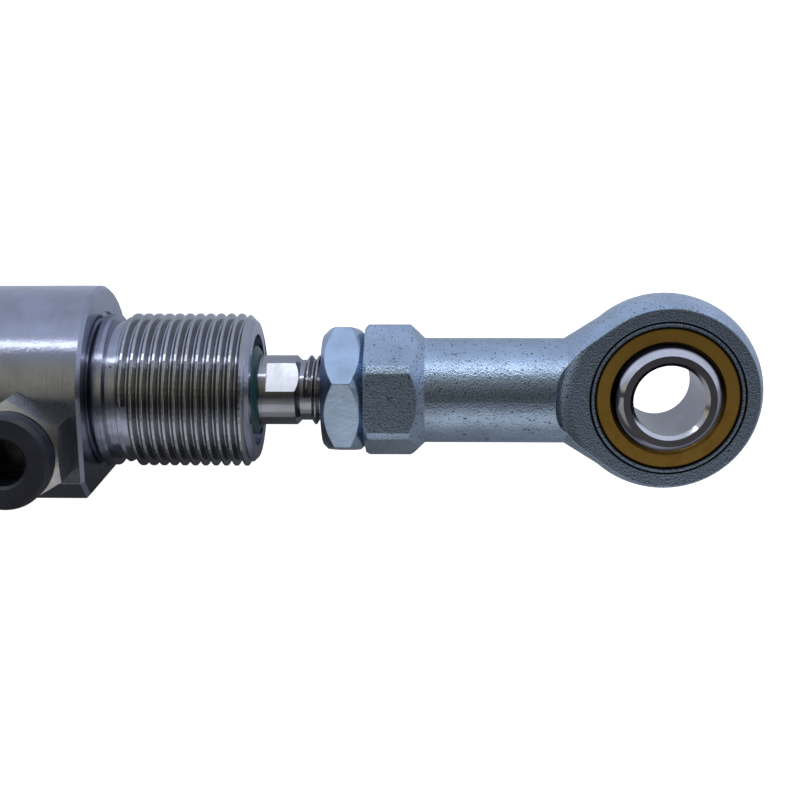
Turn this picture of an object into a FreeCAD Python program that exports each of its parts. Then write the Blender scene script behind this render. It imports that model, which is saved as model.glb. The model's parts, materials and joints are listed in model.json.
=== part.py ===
import FreeCAD, Part
import os
import re
import Sketcher

# Round double-acting pneumatic cylinder with a threaded nose, a rear tongue and a spherical rod eye.
# Origin: the centre of the front mounting shoulder, where the threaded nose leaves the front cap.
# +X is the way the rod comes out. +Z is the side of the air ports and the axis of both eyes.
# Everything is drawn with the rod fully in.

# Driving sizes in millimetres: name, value, what it is.
SIZES = [
    ("stroke", 50, "rod travel"),
    ("bore", 25, "piston bore of the barrel"),
    ("barrel_wall", 1.1, "barrel tube wall"),
    ("bead_depth", 0.5, "depth of the rolled bead that holds a cap in the barrel"),
    ("bead_width", 2.0, "width of the rolled bead"),
    ("bead_setback", 1.2, "barrel end to the bead"),
    ("slip", 0.05, "clearance between pieces that are put together by hand"),
    ("running_gap", 0.03, "radial clearance of a running fit"),
    ("edge_break", 0.4, "small chamfer on the turned inner pieces"),
    ("beyond", 1, "reach of a cutting outline past the metal"),
    ("cap_diameter", 30, "round part of both caps"),
    ("cap_length", 16, "length of both caps outside the barrel"),
    ("cap_chamfer", 0.5, "edge chamfer on the caps"),
    ("port_flat", 14.9, "height of the port flat over the axis"),
    ("port_flat_width", 10.6, "width of the port flat about the port"),
    ("side_flat", 12.6, "distance of the side flat from the axis"),
    ("side_flat_top", 12.2, "height of the side flat over the axis"),
    ("port_offset", 4.4, "port centre beside the axis, towards the side flat"),
    ("port_setback", 8.3, "shoulder to the front port centre"),
    ("port_diameter", 8.8, "crest diameter of the G1/8 port thread"),
    ("port_countersink", 0.6, "countersink on the port's edge"),
    ("port_overrun", 2, "port drilled on into the air chamber"),
    ("rear_port_setback", 8.0, "barrel to the rear port centre"),
    ("nose_diameter", 22, "M22 x 1.5 mounting thread"),
    ("nose_length", 22, "shoulder to the nose face"),
    ("nose_chamfer", 1.2, "chamfer at the nose face"),
    ("pilot_diameter", 21.8, "locating ring beside the shoulder"),
    ("pilot_end", 1.9, "shoulder to the end of the locating ring"),
    ("pilot_groove", 0.6, "width of the groove at the shoulder"),
    ("pilot_groove_depth", 0.6, "depth of the groove at the shoulder"),
    ("shoulder_relief", 0.3, "relief cut into the shoulder beside the nose"),
    ("undercut_diameter", 19.8, "thread undercut"),
    ("undercut_end", 4.2, "shoulder to the end of the undercut"),
    ("face_recess_diameter", 16, "recess in the nose face"),
    ("face_recess_depth", 1.2, "depth of that recess"),
    ("wiper_mouth_diameter", 12.8, "metal lip that keeps the wiper in"),
    ("wiper_lip", 1.0, "thickness of that metal lip"),
    ("wiper_seat_diameter", 14.4, "wiper groove"),
    ("wiper_seat_length", 3.0, "length of the wiper groove"),
    ("seal_seat_diameter", 14.4, "rod seal groove"),
    ("seal_seat_length", 3.4, "length of the rod seal groove"),
    ("seal_land", 2.2, "land between the wiper and rod seal grooves"),
    ("wiper_proud", 0.5, "wiper in front of the metal lip"),
    ("wiper_bevel", 0.4, "bevel on the wiper's face"),
    ("wiper_contact", 0.4, "wiper's lip along the rod"),
    ("wiper_relief", 1.0, "wiper off the rod behind its lip"),
    ("lip_bevel", 0.5, "bevel and spread of the pressure seals' lips"),
    ("lip_thickness", 0.9, "thickness of the piston seals' lips"),
    ("cup_depth", 1.7, "depth of the cup in the rod seal"),
    ("seal_relief", 0.2, "heel of a pressure seal off what it seals"),
    ("rod_clearance_diameter", 10.6, "cap bore where the rod only passes"),
    ("bushing_diameter", 12, "rod bushing outside"),
    ("bushing_length", 11, "rod bushing"),
    ("bushing_land", 1.7, "land between the rod seal groove and the bushing"),
    ("chamber_diameter", 15, "air chamber in each cap"),
    ("chamber_overrun", 0.5, "rear air chamber behind its port"),
    ("front_spigot", 9, "front cap inside the barrel"),
    ("rear_spigot", 7, "rear cap inside the barrel"),
    ("barrel_seal_setback", 4.2, "barrel end to the groove of its O-ring"),
    ("barrel_seal_groove", 2.2, "width of that groove"),
    ("barrel_seal_section", 1.7, "section of the barrel O-ring"),
    ("buffer_diameter", 21, "end cushion outside"),
    ("buffer_length", 3, "end cushion"),
    ("buffer_proud", 0.5, "end cushion beyond its cap"),
    ("buffer_step", 0.4, "end cushion's bore outside the air chamber"),
    ("pivot_diameter", 8, "rear pivot bore"),
    ("pivot_to_block", 12, "rear pivot to the rear cap's block"),
    ("tongue_width", 16, "rear tongue along its bore"),
    ("tongue_height", 22, "rear tongue across its bore"),
    ("tongue_chamfer", 0.6, "edge chamfer on the tongue"),
    ("rod_diameter", 10, "piston rod and its M10 x 1.25 thread"),
    ("rod_reach", 28.4, "shoulder to the rod's thread"),
    ("rod_thread_length", 21.6, "rod thread"),
    ("rod_chamfer", 0.8, "chamfers on the rod"),
    ("rod_thread_root", 4.35, "radius at the thread's run-out"),
    ("rod_thread_relief", 0.4, "length of the thread's run-out"),
    ("wrench_width", 9, "across the rod's wrench flats"),
    ("wrench_length", 4.7, "length of the wrench flats"),
    ("wrench_turn", 36, "turn of the wrench flats about the rod"),
    ("stub_diameter", 6, "rod stub that carries the piston"),
    ("piston_length", 15, "whole piston"),
    ("piston_gap", 0.3, "radial clearance of the piston's metal in the bore"),
    ("magnet_length", 4, "ring magnet"),
    ("magnet_diameter", 20.6, "ring magnet outside"),
    ("magnet_gap", 0.2, "magnet's bore round the rod stub"),
    ("lip_groove_setback", 1.2, "piston face to its lip seal's groove"),
    ("lip_groove_width", 2.8, "lip seal groove"),
    ("lip_groove_diameter", 18, "bottom of the lip seal groove"),
    ("piston_seal_section", 1.6, "section of the O-ring on the rod stub"),
    ("piston_seal_setback", 1.4, "piston face to that O-ring's groove"),
    ("piston_nut_width", 10, "across flats of the piston nut"),
    ("piston_nut_length", 4, "piston nut"),
    ("piston_nut_sunk", 2, "piston nut inside the piston"),
    ("piston_nut_room", 0.4, "room round the piston nut's corners"),
    ("stub_beyond_nut", 0.6, "rod stub behind the piston nut"),
    ("jam_nut_start", 3.2, "rod thread showing behind the jam nut"),
    ("jam_nut_width", 17, "across flats of the jam nut"),
    ("jam_nut_length", 6, "jam nut"),
    ("jam_nut_chamfer_diameter", 15.8, "face of the jam nut inside its chamfer"),
    ("jam_nut_turn", 18, "turn of the jam nut about the rod"),
    ("eye_length", 42.4, "rod eye's face to the centre of its ball"),
    ("eye_diameter", 28, "rod eye head"),
    ("eye_thickness", 10.5, "rod eye head along its bore"),
    ("eye_rim", 1.25, "forged rim of the head outside its machined face"),
    ("eye_neck_diameter", 15, "neck of the rod eye"),
    ("eye_flare_angle", 31.8, "flare from the neck to the head"),
    ("eye_flare_inset", 0.25, "flare inside the line that would touch the head's rim"),
    ("eye_scoop_start", 13.4, "eye centre to the end of the machined face"),
    ("eye_scoop_radius", 2.4, "concave run-out from that face to the neck"),
    ("eye_collar_diameter", 19, "wrench collar of the rod eye"),
    ("eye_collar_width", 17, "across flats of that collar"),
    ("eye_collar_length", 6.4, "wrench collar"),
    ("eye_collar_taper", 2.1, "taper from the collar to the neck"),
    ("eye_collar_chamfer", 0.5, "chamfer on the collar's face"),
    ("eye_thread_depth", 20, "threaded hole in the rod eye"),
    ("eye_countersink", 0.7, "countersink of that hole"),
    ("drill_point_angle", 31, "slope of the drill's point at the bottom of that hole"),
    ("stake_diameter", 21.6, "staking groove round the race"),
    ("stake_width", 0.35, "width of the staking groove"),
    ("race_diameter", 22, "race outside"),
    ("race_width", 10.2, "race along its bore"),
    ("race_chamfer", 1.0, "chamfer that the staked head closes over"),
    ("liner_wall", 0.45, "sliding liner between race and ball"),
    ("liner_width", 7, "sliding liner along its bore"),
    ("ball_diameter", 19.05, "ball"),
    ("ball_width", 14, "ball along its bore"),
    ("ball_bore", 10, "bore of the ball"),
    ("ball_chamfer", 0.5, "chamfer on the ball's bore"),
    ("tube_diameter", 6, "air tube that the fitting takes"),
    ("fitting_width", 13, "across flats of the fitting"),
    ("fitting_hex_length", 5, "hexagon of the fitting"),
    ("fitting_stub_length", 5.6, "threaded stub of the fitting"),
    ("fitting_stop", 1.0, "tube stop at the bottom of the fitting"),
    ("fitting_floor_diameter", 4.2, "air way through the tube stop"),
    ("tube_seal_floor", 0.3, "port flat to the fitting's seal groove"),
    ("tube_seal_length", 0.9, "tube seal along the tube"),
    ("tube_seal_bevel", 0.3, "bevels on the tube seal"),
    ("fitting_chamber_diameter", 10, "chamber for the seal and the collet"),
    ("fitting_lip", 0.6, "thickness of the lip that keeps the collet in"),
    ("fitting_lip_reach", 0.5, "reach of that lip over the chamber"),
    ("fitting_top_inset", 0.3, "top chamfer of the fitting inside its flats"),
    ("hexagon_chamfer_angle", 30, "slope of that chamfer"),
    ("gasket_section", 1.0, "section of the O-ring under the hexagon"),
    ("gasket_diameter", 10.6, "middle diameter of that O-ring"),
    ("ring_diameter", 12.8, "release ring's button"),
    ("ring_height", 2.6, "release ring's button"),
    ("ring_travel", 0.8, "push of the release ring"),
    ("ring_skirt_diameter", 7.6, "release ring's skirt"),
    ("ring_chamfer", 0.5, "chamfer on the button's edge"),
    ("collet_wall", 0.5, "spring steel of the collet"),
]

# Stations along X, worked out from the driving sizes, from the shoulder back to the rear pivot.
FRONT_SPIGOT_END = "-cap_length - front_spigot"
PISTON_FRONT = FRONT_SPIGOT_END + " - buffer_proud - stroke"
PISTON_BACK = PISTON_FRONT + " - piston_length"
REAR_SPIGOT_END = PISTON_BACK + " - buffer_proud"
BARREL_REAR = REAR_SPIGOT_END + " - rear_spigot"
REAR_PORT_X = BARREL_REAR + " - rear_port_setback"
REAR_BLOCK_BACK = BARREL_REAR + " - cap_length"
PIVOT_X = REAR_BLOCK_BACK + " - pivot_to_block"
MAGNET_BACK = PISTON_BACK + " + (piston_length - magnet_length) / 2"
MAGNET_FRONT = MAGNET_BACK + " + magnet_length"
RECESS_FLOOR = "nose_length - face_recess_depth"
WIPER_FRONT = RECESS_FLOOR + " - wiper_lip"
WIPER_BACK = WIPER_FRONT + " - wiper_seat_length"
SEAL_FRONT = WIPER_BACK + " - seal_land"
SEAL_BACK = SEAL_FRONT + " - seal_seat_length"
BUSHING_FRONT = SEAL_BACK + " - bushing_land"
BUSHING_BACK = BUSHING_FRONT + " - bushing_length"
JAM_NUT_BACK = "rod_reach + jam_nut_start"
EYE_FACE = JAM_NUT_BACK + " + jam_nut_length"
EYE_X = EYE_FACE + " + eye_length"
PORT_Y = "-port_offset"

doc = FreeCAD.newDocument("PneumaticCylinder")
sheet = doc.addObject("Spreadsheet::Sheet", "Sizes")
for row, (name, value, meaning) in enumerate(SIZES, start=1):
    sheet.set(f"A{row}", meaning)
    sheet.set(f"B{row}", str(value))
    sheet.setAlias(f"B{row}", name)
doc.recompute()

NAMES = {name for name, value, meaning in SIZES}
pieces = []


def measure(formula):
    """The number that a formula of sheet names gives."""
    return float(sheet.evalExpression(formula))


def bind(thing, target, formula):
    """Ties a property or constraint to a formula of sheet names."""
    with_sheet = re.sub(r"[a-z_]+[a-z0-9_]*", lambda word: tie(word.group(0)), formula)
    thing.setExpression(target, with_sheet)


def tie(word):
    return "Sizes." + word if word in NAMES else word


def new_body(name):
    """A body whose label names its file."""
    body = doc.addObject("PartDesign::Body", name)
    body.Label = name
    pieces.append(body)
    return body


def sketch_on(body, role, name, offset=None):
    """An empty sketch on one of the body's own origin planes, moved along the plane's normal by offset."""
    sketch = body.newObject("Sketcher::SketchObject", f"{body.Name}_{name}")
    plane = next(f for f in body.Origin.OriginFeatures if f.Role == role)
    sketch.AttachmentSupport = [(plane, "")]
    sketch.MapMode = "FlatFace"
    if offset:
        bind(sketch, "AttachmentOffset.Base.z", offset)
    return sketch


def draw_outline(sketch, corners):
    """A closed outline. A corner is (first, second) or, where an arc leads to the next corner,
    (first, second, (radius, through first, through second))."""
    points = [FreeCAD.Vector(measure(c[0]), measure(c[1]), 0) for c in corners]
    start_of = []
    end_of = []
    for index, corner in enumerate(corners):
        start, end = points[index], points[(index + 1) % len(points)]
        if len(corner) == 2:
            edge = sketch.addGeometry(Part.LineSegment(start, end), False)
            start_of.append((edge, 1))
            end_of.append((edge, 2))
            continue
        radius, through_first, through_second = corner[2]
        middle = FreeCAD.Vector(measure(through_first), measure(through_second), 0)
        arc = Part.Arc(start, middle, end)
        edge = sketch.addGeometry(arc, False)
        forward = sketch.getPoint(edge, 1).distanceToPoint(start) < 1e-6
        start_of.append((edge, 1 if forward else 2))
        end_of.append((edge, 2 if forward else 1))
        bind_constraint(sketch, Sketcher.Constraint("Radius", edge, measure(radius)), radius)
    for index in range(len(corners)):
        following = (index + 1) % len(corners)
        sketch.addConstraint(Sketcher.Constraint("Coincident", *end_of[index], *start_of[following]))
        for kind, formula in zip(("DistanceX", "DistanceY"), corners[index][:2]):
            place = Sketcher.Constraint(kind, -1, 1, *start_of[index], measure(formula))
            bind_constraint(sketch, place, formula)


def bind_constraint(sketch, constraint, formula):
    number = sketch.addConstraint(constraint)
    bind(sketch, f"Constraints[{number}]", formula)


def draw_circle(sketch, first, second, radius):
    """A circle about a point of the sketch."""
    centre = FreeCAD.Vector(measure(first), measure(second), 0)
    circle = Part.Circle(centre, FreeCAD.Vector(0, 0, 1), measure(radius))
    edge = sketch.addGeometry(circle, False)
    bind_constraint(sketch, Sketcher.Constraint("Radius", edge, measure(radius)), radius)
    for kind, formula in (("DistanceX", first), ("DistanceY", second)):
        bind_constraint(sketch, Sketcher.Constraint(kind, -1, 1, edge, 3, measure(formula)), formula)


def hexagon(width, first_angle):
    """Corners of a hexagon about the sketch's origin: its width across flats and its first corner's angle."""
    turns = [f"({first_angle}) + {60 * side}" for side in range(6)]
    return [(f"{width} / sqrt(3) * cos({turn})", f"{width} / sqrt(3) * sin({turn})") for turn in turns]


def turn(body, name, kind, axis, corners):
    """Revolves an outline on the XZ plane: axis H_Axis is X and V_Axis is Z."""
    sketch = sketch_on(body, "XZ_Plane", name + "_outline")
    draw_outline(sketch, corners)
    feature = body.newObject(f"PartDesign::{kind}", f"{body.Name}_{name}")
    feature.Profile = sketch
    feature.ReferenceAxis = (sketch, [axis])
    feature.Angle = 360
    doc.recompute()
    return feature


def push(body, name, kind, sketch, length, backwards=False, both_ways=False):
    """A pad or a pocket of a sketch. Backwards turns round the feature's own direction."""
    feature = body.newObject(f"PartDesign::{kind}", f"{body.Name}_{name}")
    feature.Profile = sketch
    feature.Reversed = backwards
    feature.Midplane = both_ways
    bind(feature, "Length", length)
    doc.recompute()
    return feature


def edges_at(shape, along, station):
    """Names of the edges that lie whole in the plane where the given axis reads station."""
    found = []
    for number, edge in enumerate(shape.Edges, start=1):
        low, high = getattr(edge.BoundBox, along + "Min"), getattr(edge.BoundBox, along + "Max")
        if abs(low - station) < 1e-4 and abs(high - station) < 1e-4:
            found.append(f"Edge{number}")
    return found


def chamfer(body, name, base, edges, size):
    feature = body.newObject("PartDesign::Chamfer", f"{body.Name}_{name}")
    feature.Base = (base, edges)
    bind(feature, "Size", size)
    doc.recompute()
    return feature


def place(body, x="0", y="0", z="0"):
    """Moves a piece that was drawn about its own datum to its place in the cylinder."""
    for axis, formula in zip("xyz", (x, y, z)):
        if formula != "0":
            bind(body, f"Placement.Base.{axis}", formula)


def o_ring(name, middle_radius, section_radius):
    """An O-ring about the Z axis."""
    ring = doc.addObject("Part::Torus", name)
    ring.Label = name
    bind(ring, "Radius1", middle_radius)
    bind(ring, "Radius2", section_radius)
    pieces.append(ring)
    return ring


def o_ring_on_rod_axis(name, x, middle_radius, section_radius):
    ring = o_ring(name, middle_radius, section_radius)
    ring.Placement.Rotation = FreeCAD.Rotation(FreeCAD.Vector(0, 1, 0), 90)
    place(ring, x)


def cap_section(inset):
    """Section of both caps on the YZ plane, inset all round: a circle with a port boss and a side flat."""
    circle = f"(cap_diameter / 2 - {inset})"
    flat = f"(port_flat - {inset})"
    side = f"(side_flat - {inset})"
    flat_meets_circle = f"sqrt({circle} ^ 2 - {flat} ^ 2)"
    side_meets_circle = f"sqrt({circle} ^ 2 - {side} ^ 2)"
    return [
        (flat_meets_circle, flat),
        (f"{PORT_Y} - port_flat_width / 2 + {inset} / 2", flat),
        (f"-{side}", f"side_flat_top - {inset} / 2"),
        (f"-{side}", f"-{side_meets_circle}", (circle, circle, "0")),
    ]


def cap_block(body, front):
    """Block of a cap from its front face back, with a chamfer at both ends."""
    chamfered_front = f"{front} - cap_chamfer"
    chamfered_back = f"{front} - cap_length + cap_chamfer"
    main = sketch_on(body, "YZ_Plane", "section", chamfered_front)
    draw_outline(main, cap_section("0"))
    push(body, "block", "Pad", main, "cap_length - 2 * cap_chamfer", backwards=True)
    ends = (("front", chamfered_front, front), ("back", chamfered_back, f"{front} - cap_length"))
    for name, full_station, face_station in ends:
        full = sketch_on(body, "YZ_Plane", f"{name}_full", full_station)
        draw_outline(full, cap_section("0"))
        face = sketch_on(body, "YZ_Plane", f"{name}_face", face_station)
        draw_outline(face, cap_section("cap_chamfer"))
        loft = body.newObject("PartDesign::AdditiveLoft", f"{body.Name}_{name}_chamfer")
        loft.Profile = full
        loft.Sections = [face]
        loft.Ruled = True
        doc.recompute()


def spigot_outline(barrel_end, inward, length):
    """Outside of a spigot from its barrel end inward, with the grooves of the bead and the O-ring.
    Inward is +1 or -1 along X."""
    outside = "bore / 2 - slip"
    bead_floor = "bore / 2 - bead_depth - slip"
    ring_floor = "bore / 2 - barrel_seal_section"
    bead = ("bead_setback - slip", "bead_setback + bead_width + slip")
    ring = ("barrel_seal_setback", "barrel_seal_setback + barrel_seal_groove")
    stations = [(outside, bead[0]), (bead_floor, bead[0]), (bead_floor, bead[1]), (outside, bead[1]),
                (outside, ring[0]), (ring_floor, ring[0]), (ring_floor, ring[1]), (outside, ring[1]),
                (outside, f"{length} - cap_chamfer"), ("bore / 2 - cap_chamfer", length)]
    return [(f"{barrel_end} + {inward} * ({distance})", radius) for radius, distance in stations]


def port(body, x):
    """Threaded port from the port flat down to the cap's air chamber, with a small countersink."""
    hole = sketch_on(body, "XY_Plane", "port_circle", "port_flat")
    draw_circle(hole, x, PORT_Y, "port_diameter / 2")
    push(body, "port", "Pocket", hole, "port_flat - chamber_diameter / 2 + port_overrun")
    rim = edges_at(body.Tip.Shape, "Z", measure("port_flat"))
    round_rim = [e for e in rim if isinstance(body.Tip.Shape.getElement(e).Curve, Part.Circle)]
    chamfer(body, "port_countersink", body.Tip, round_rim, "port_countersink")


# Front cap: block, threaded nose and spigot in one piece of aluminium.
def front_cap():
    body = new_body("front_cap")
    cap_block(body, "0")
    spigot = spigot_outline("-cap_length", "-1", "front_spigot")
    nose = "nose_diameter / 2"
    undercut = "undercut_diameter / 2"
    pilot = "pilot_diameter / 2"
    turn(body, "nose_and_spigot", "Revolution", "H_Axis", [
        (FRONT_SPIGOT_END, "0"),
        *reversed(spigot),
        ("-cap_length / 2", "bore / 2 - slip"),
        ("-cap_length / 2", f"{pilot} - pilot_groove_depth"),
        ("pilot_groove", f"{pilot} - pilot_groove_depth"),
        ("pilot_groove", pilot),
        ("pilot_end", pilot),
        ("pilot_end", undercut),
        (f"undercut_end - ({nose} - {undercut})", undercut),
        ("undercut_end", nose),
        ("nose_length - nose_chamfer", nose),
        ("nose_length", f"{nose} - nose_chamfer"),
        ("nose_length", "0"),
    ])
    turn(body, "shoulder_relief", "Groove", "H_Axis", [
        ("-shoulder_relief", f"{pilot} - pilot_groove_depth"),
        ("pilot_groove", f"{pilot} - pilot_groove_depth"),
        ("pilot_groove", f"{nose} + shoulder_relief"),
        ("-shoulder_relief", f"{nose} + shoulder_relief"),
    ])
    rod_way = "rod_clearance_diameter / 2"
    turn(body, "rod_way", "Groove", "H_Axis", [
        ("nose_length + beyond", "0"),
        ("nose_length + beyond", "face_recess_diameter / 2"),
        (RECESS_FLOOR, "face_recess_diameter / 2"),
        (RECESS_FLOOR, "wiper_mouth_diameter / 2"),
        (WIPER_FRONT, "wiper_mouth_diameter / 2"),
        (WIPER_FRONT, "wiper_seat_diameter / 2"),
        (WIPER_BACK, "wiper_seat_diameter / 2"),
        (WIPER_BACK, rod_way),
        (SEAL_FRONT, rod_way),
        (SEAL_FRONT, "seal_seat_diameter / 2"),
        (SEAL_BACK, "seal_seat_diameter / 2"),
        (SEAL_BACK, rod_way),
        (BUSHING_FRONT, rod_way),
        (BUSHING_FRONT, "bushing_diameter / 2"),
        (BUSHING_BACK, "bushing_diameter / 2"),
        (BUSHING_BACK, "chamber_diameter / 2"),
        (f"{FRONT_SPIGOT_END} + buffer_length - buffer_proud", "chamber_diameter / 2"),
        (f"{FRONT_SPIGOT_END} + buffer_length - buffer_proud", "buffer_diameter / 2"),
        (f"{FRONT_SPIGOT_END} - beyond", "buffer_diameter / 2"),
        (f"{FRONT_SPIGOT_END} - beyond", "0"),
    ])
    port(body, "-port_setback")


# Rear cap: block, spigot, collar and the tongue with the pivot bore.
def rear_cap():
    body = new_body("rear_cap")
    cap_block(body, BARREL_REAR)
    tongue = sketch_on(body, "XY_Plane", "tongue_outline")
    half = "tongue_height / 2"
    draw_outline(tongue, [
        (f"{REAR_BLOCK_BACK} + cap_length / 2", f"-{half}"),
        (f"{REAR_BLOCK_BACK} + cap_length / 2", half),
        (PIVOT_X, half, (half, f"{PIVOT_X} - {half} * cos(45)", f"{half} * sin(45)")),
        (f"{PIVOT_X} - {half}", "0", (half, f"{PIVOT_X} - {half} * cos(45)", f"-{half} * sin(45)")),
        (PIVOT_X, f"-{half}"),
    ])
    push(body, "tongue", "Pad", tongue, "tongue_width", both_ways=True)
    side_edges = []
    for side in (-1, 1):
        height = side * measure("tongue_width") / 2
        side_edges += edges_at(body.Tip.Shape, "Z", height)
    chamfer(body, "tongue_edges", body.Tip, side_edges, "tongue_chamfer")
    turn(body, "spigot", "Revolution", "H_Axis", [
        (f"{BARREL_REAR} - cap_length / 2", "0"),
        (f"{BARREL_REAR} - cap_length / 2", "bore / 2 - slip"),
        *spigot_outline(BARREL_REAR, "1", "rear_spigot"),
        (REAR_SPIGOT_END, "0"),
    ])
    chamber_back = f"{REAR_PORT_X} - port_diameter / 2 - chamber_overrun"
    turn(body, "chamber", "Groove", "H_Axis", [
        (chamber_back, "0"),
        (chamber_back, "chamber_diameter / 2"),
        (f"{REAR_SPIGOT_END} - buffer_length + buffer_proud", "chamber_diameter / 2"),
        (f"{REAR_SPIGOT_END} - buffer_length + buffer_proud", "buffer_diameter / 2"),
        (f"{REAR_SPIGOT_END} + beyond", "buffer_diameter / 2"),
        (f"{REAR_SPIGOT_END} + beyond", "0"),
    ])
    pivot = sketch_on(body, "XY_Plane", "pivot_circle")
    draw_circle(pivot, PIVOT_X, "0", "pivot_diameter / 2")
    push(body, "pivot_bore", "Pocket", pivot, "tongue_width * 2", both_ways=True)
    port(body, REAR_PORT_X)


# Barrel: a drawn tube, rolled into a bead at both ends to hold the caps.
def barrel():
    body = new_body("barrel")
    inside = "bore / 2"
    outside = "bore / 2 + barrel_wall"

    def bead(end, inward, radius):
        low = f"{radius} - bead_depth"
        near, far = "bead_setback", "bead_setback + bead_width"
        return [
            (f"{end} + {inward} * ({near})", radius),
            (f"{end} + {inward} * ({near} + bead_depth)", low),
            (f"{end} + {inward} * ({far} - bead_depth)", low),
            (f"{end} + {inward} * ({far})", radius),
        ]

    turn(body, "tube", "Revolution", "H_Axis", [
        ("-cap_length", outside),
        ("-cap_length", inside),
        *bead("-cap_length", "-1", inside),
        *reversed(bead(BARREL_REAR, "1", inside)),
        (BARREL_REAR, inside),
        (BARREL_REAR, outside),
        *bead(BARREL_REAR, "1", outside),
        *reversed(bead("-cap_length", "-1", outside)),
    ])


# Soft and bearing rings of the front cap.
def front_rings():
    rod = "rod_diameter / 2 + running_gap"
    bushing = new_body("rod_bushing")
    turn(bushing, "ring", "Revolution", "H_Axis", [
        (BUSHING_BACK, f"{rod} + edge_break"),
        (f"{BUSHING_BACK} + edge_break", rod),
        (f"{BUSHING_FRONT} - edge_break", rod),
        (BUSHING_FRONT, f"{rod} + edge_break"),
        (BUSHING_FRONT, "bushing_diameter / 2"),
        (BUSHING_BACK, "bushing_diameter / 2"),
    ])
    wiper = new_body("rod_wiper")
    seat = "wiper_seat_diameter / 2 - slip"
    mouth = "wiper_mouth_diameter / 2 - slip"
    face = f"{RECESS_FLOOR} + wiper_proud"
    turn(wiper, "ring", "Revolution", "H_Axis", [
        (f"{WIPER_BACK} + slip", f"{rod} + wiper_relief"),
        (f"{WIPER_BACK} + slip", seat),
        (f"{WIPER_FRONT} - slip", seat),
        (f"{WIPER_FRONT} - slip", mouth),
        (f"{face} - wiper_bevel", mouth),
        (face, f"{mouth} - wiper_bevel"),
        (face, f"{rod} + wiper_bevel / 2"),
        (f"{face} - wiper_bevel", rod),
        (f"{face} - wiper_bevel - wiper_contact", rod),
    ])
    seal = new_body("rod_seal")
    groove = "seal_seat_diameter / 2 - slip"
    turn(seal, "ring", "Revolution", "H_Axis", [
        (f"{SEAL_FRONT} - slip", f"{rod} + seal_relief"),
        (f"{SEAL_FRONT} - slip", groove),
        (f"{SEAL_BACK} + slip", groove),
        (f"{SEAL_BACK} + slip", f"{groove} - lip_bevel"),
        (f"{SEAL_BACK} + cup_depth", f"({rod} + {groove}) / 2"),
        (f"{SEAL_BACK} + slip", f"{rod} + lip_bevel"),
        (f"{SEAL_BACK} + slip", rod),
        (f"{SEAL_BACK} + slip + lip_bevel", rod),
        (f"{SEAL_BACK} + cup_depth", f"{rod} + seal_relief"),
    ])


# O-rings that seal the caps in the barrel, and the cushion rings that the piston lands on.
def cap_rings():
    section = "barrel_seal_section / 2 - slip / 2"
    middle = f"bore / 2 - slip / 2 - ({section})"
    setback = "(barrel_seal_setback + barrel_seal_groove / 2)"
    o_ring_on_rod_axis("front_barrel_seal", f"-cap_length - {setback}", middle, section)
    o_ring_on_rod_axis("rear_barrel_seal", f"{BARREL_REAR} + {setback}", middle, section)
    ends = (("front_buffer", FRONT_SPIGOT_END, "-1"), ("rear_buffer", REAR_SPIGOT_END, "1"))
    for name, spigot_end, outward in ends:
        seat = f"{spigot_end} - {outward} * (buffer_length - buffer_proud)"
        face = f"{spigot_end} + {outward} * buffer_proud"
        buffer = new_body(name)
        turn(buffer, "ring", "Revolution", "H_Axis", [
            (seat, "chamber_diameter / 2 + buffer_step"),
            (seat, "buffer_diameter / 2"),
            (f"{face} - {outward} * edge_break", "buffer_diameter / 2"),
            (face, "buffer_diameter / 2 - edge_break"),
            (face, "chamber_diameter / 2 + buffer_step"),
        ])


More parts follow.
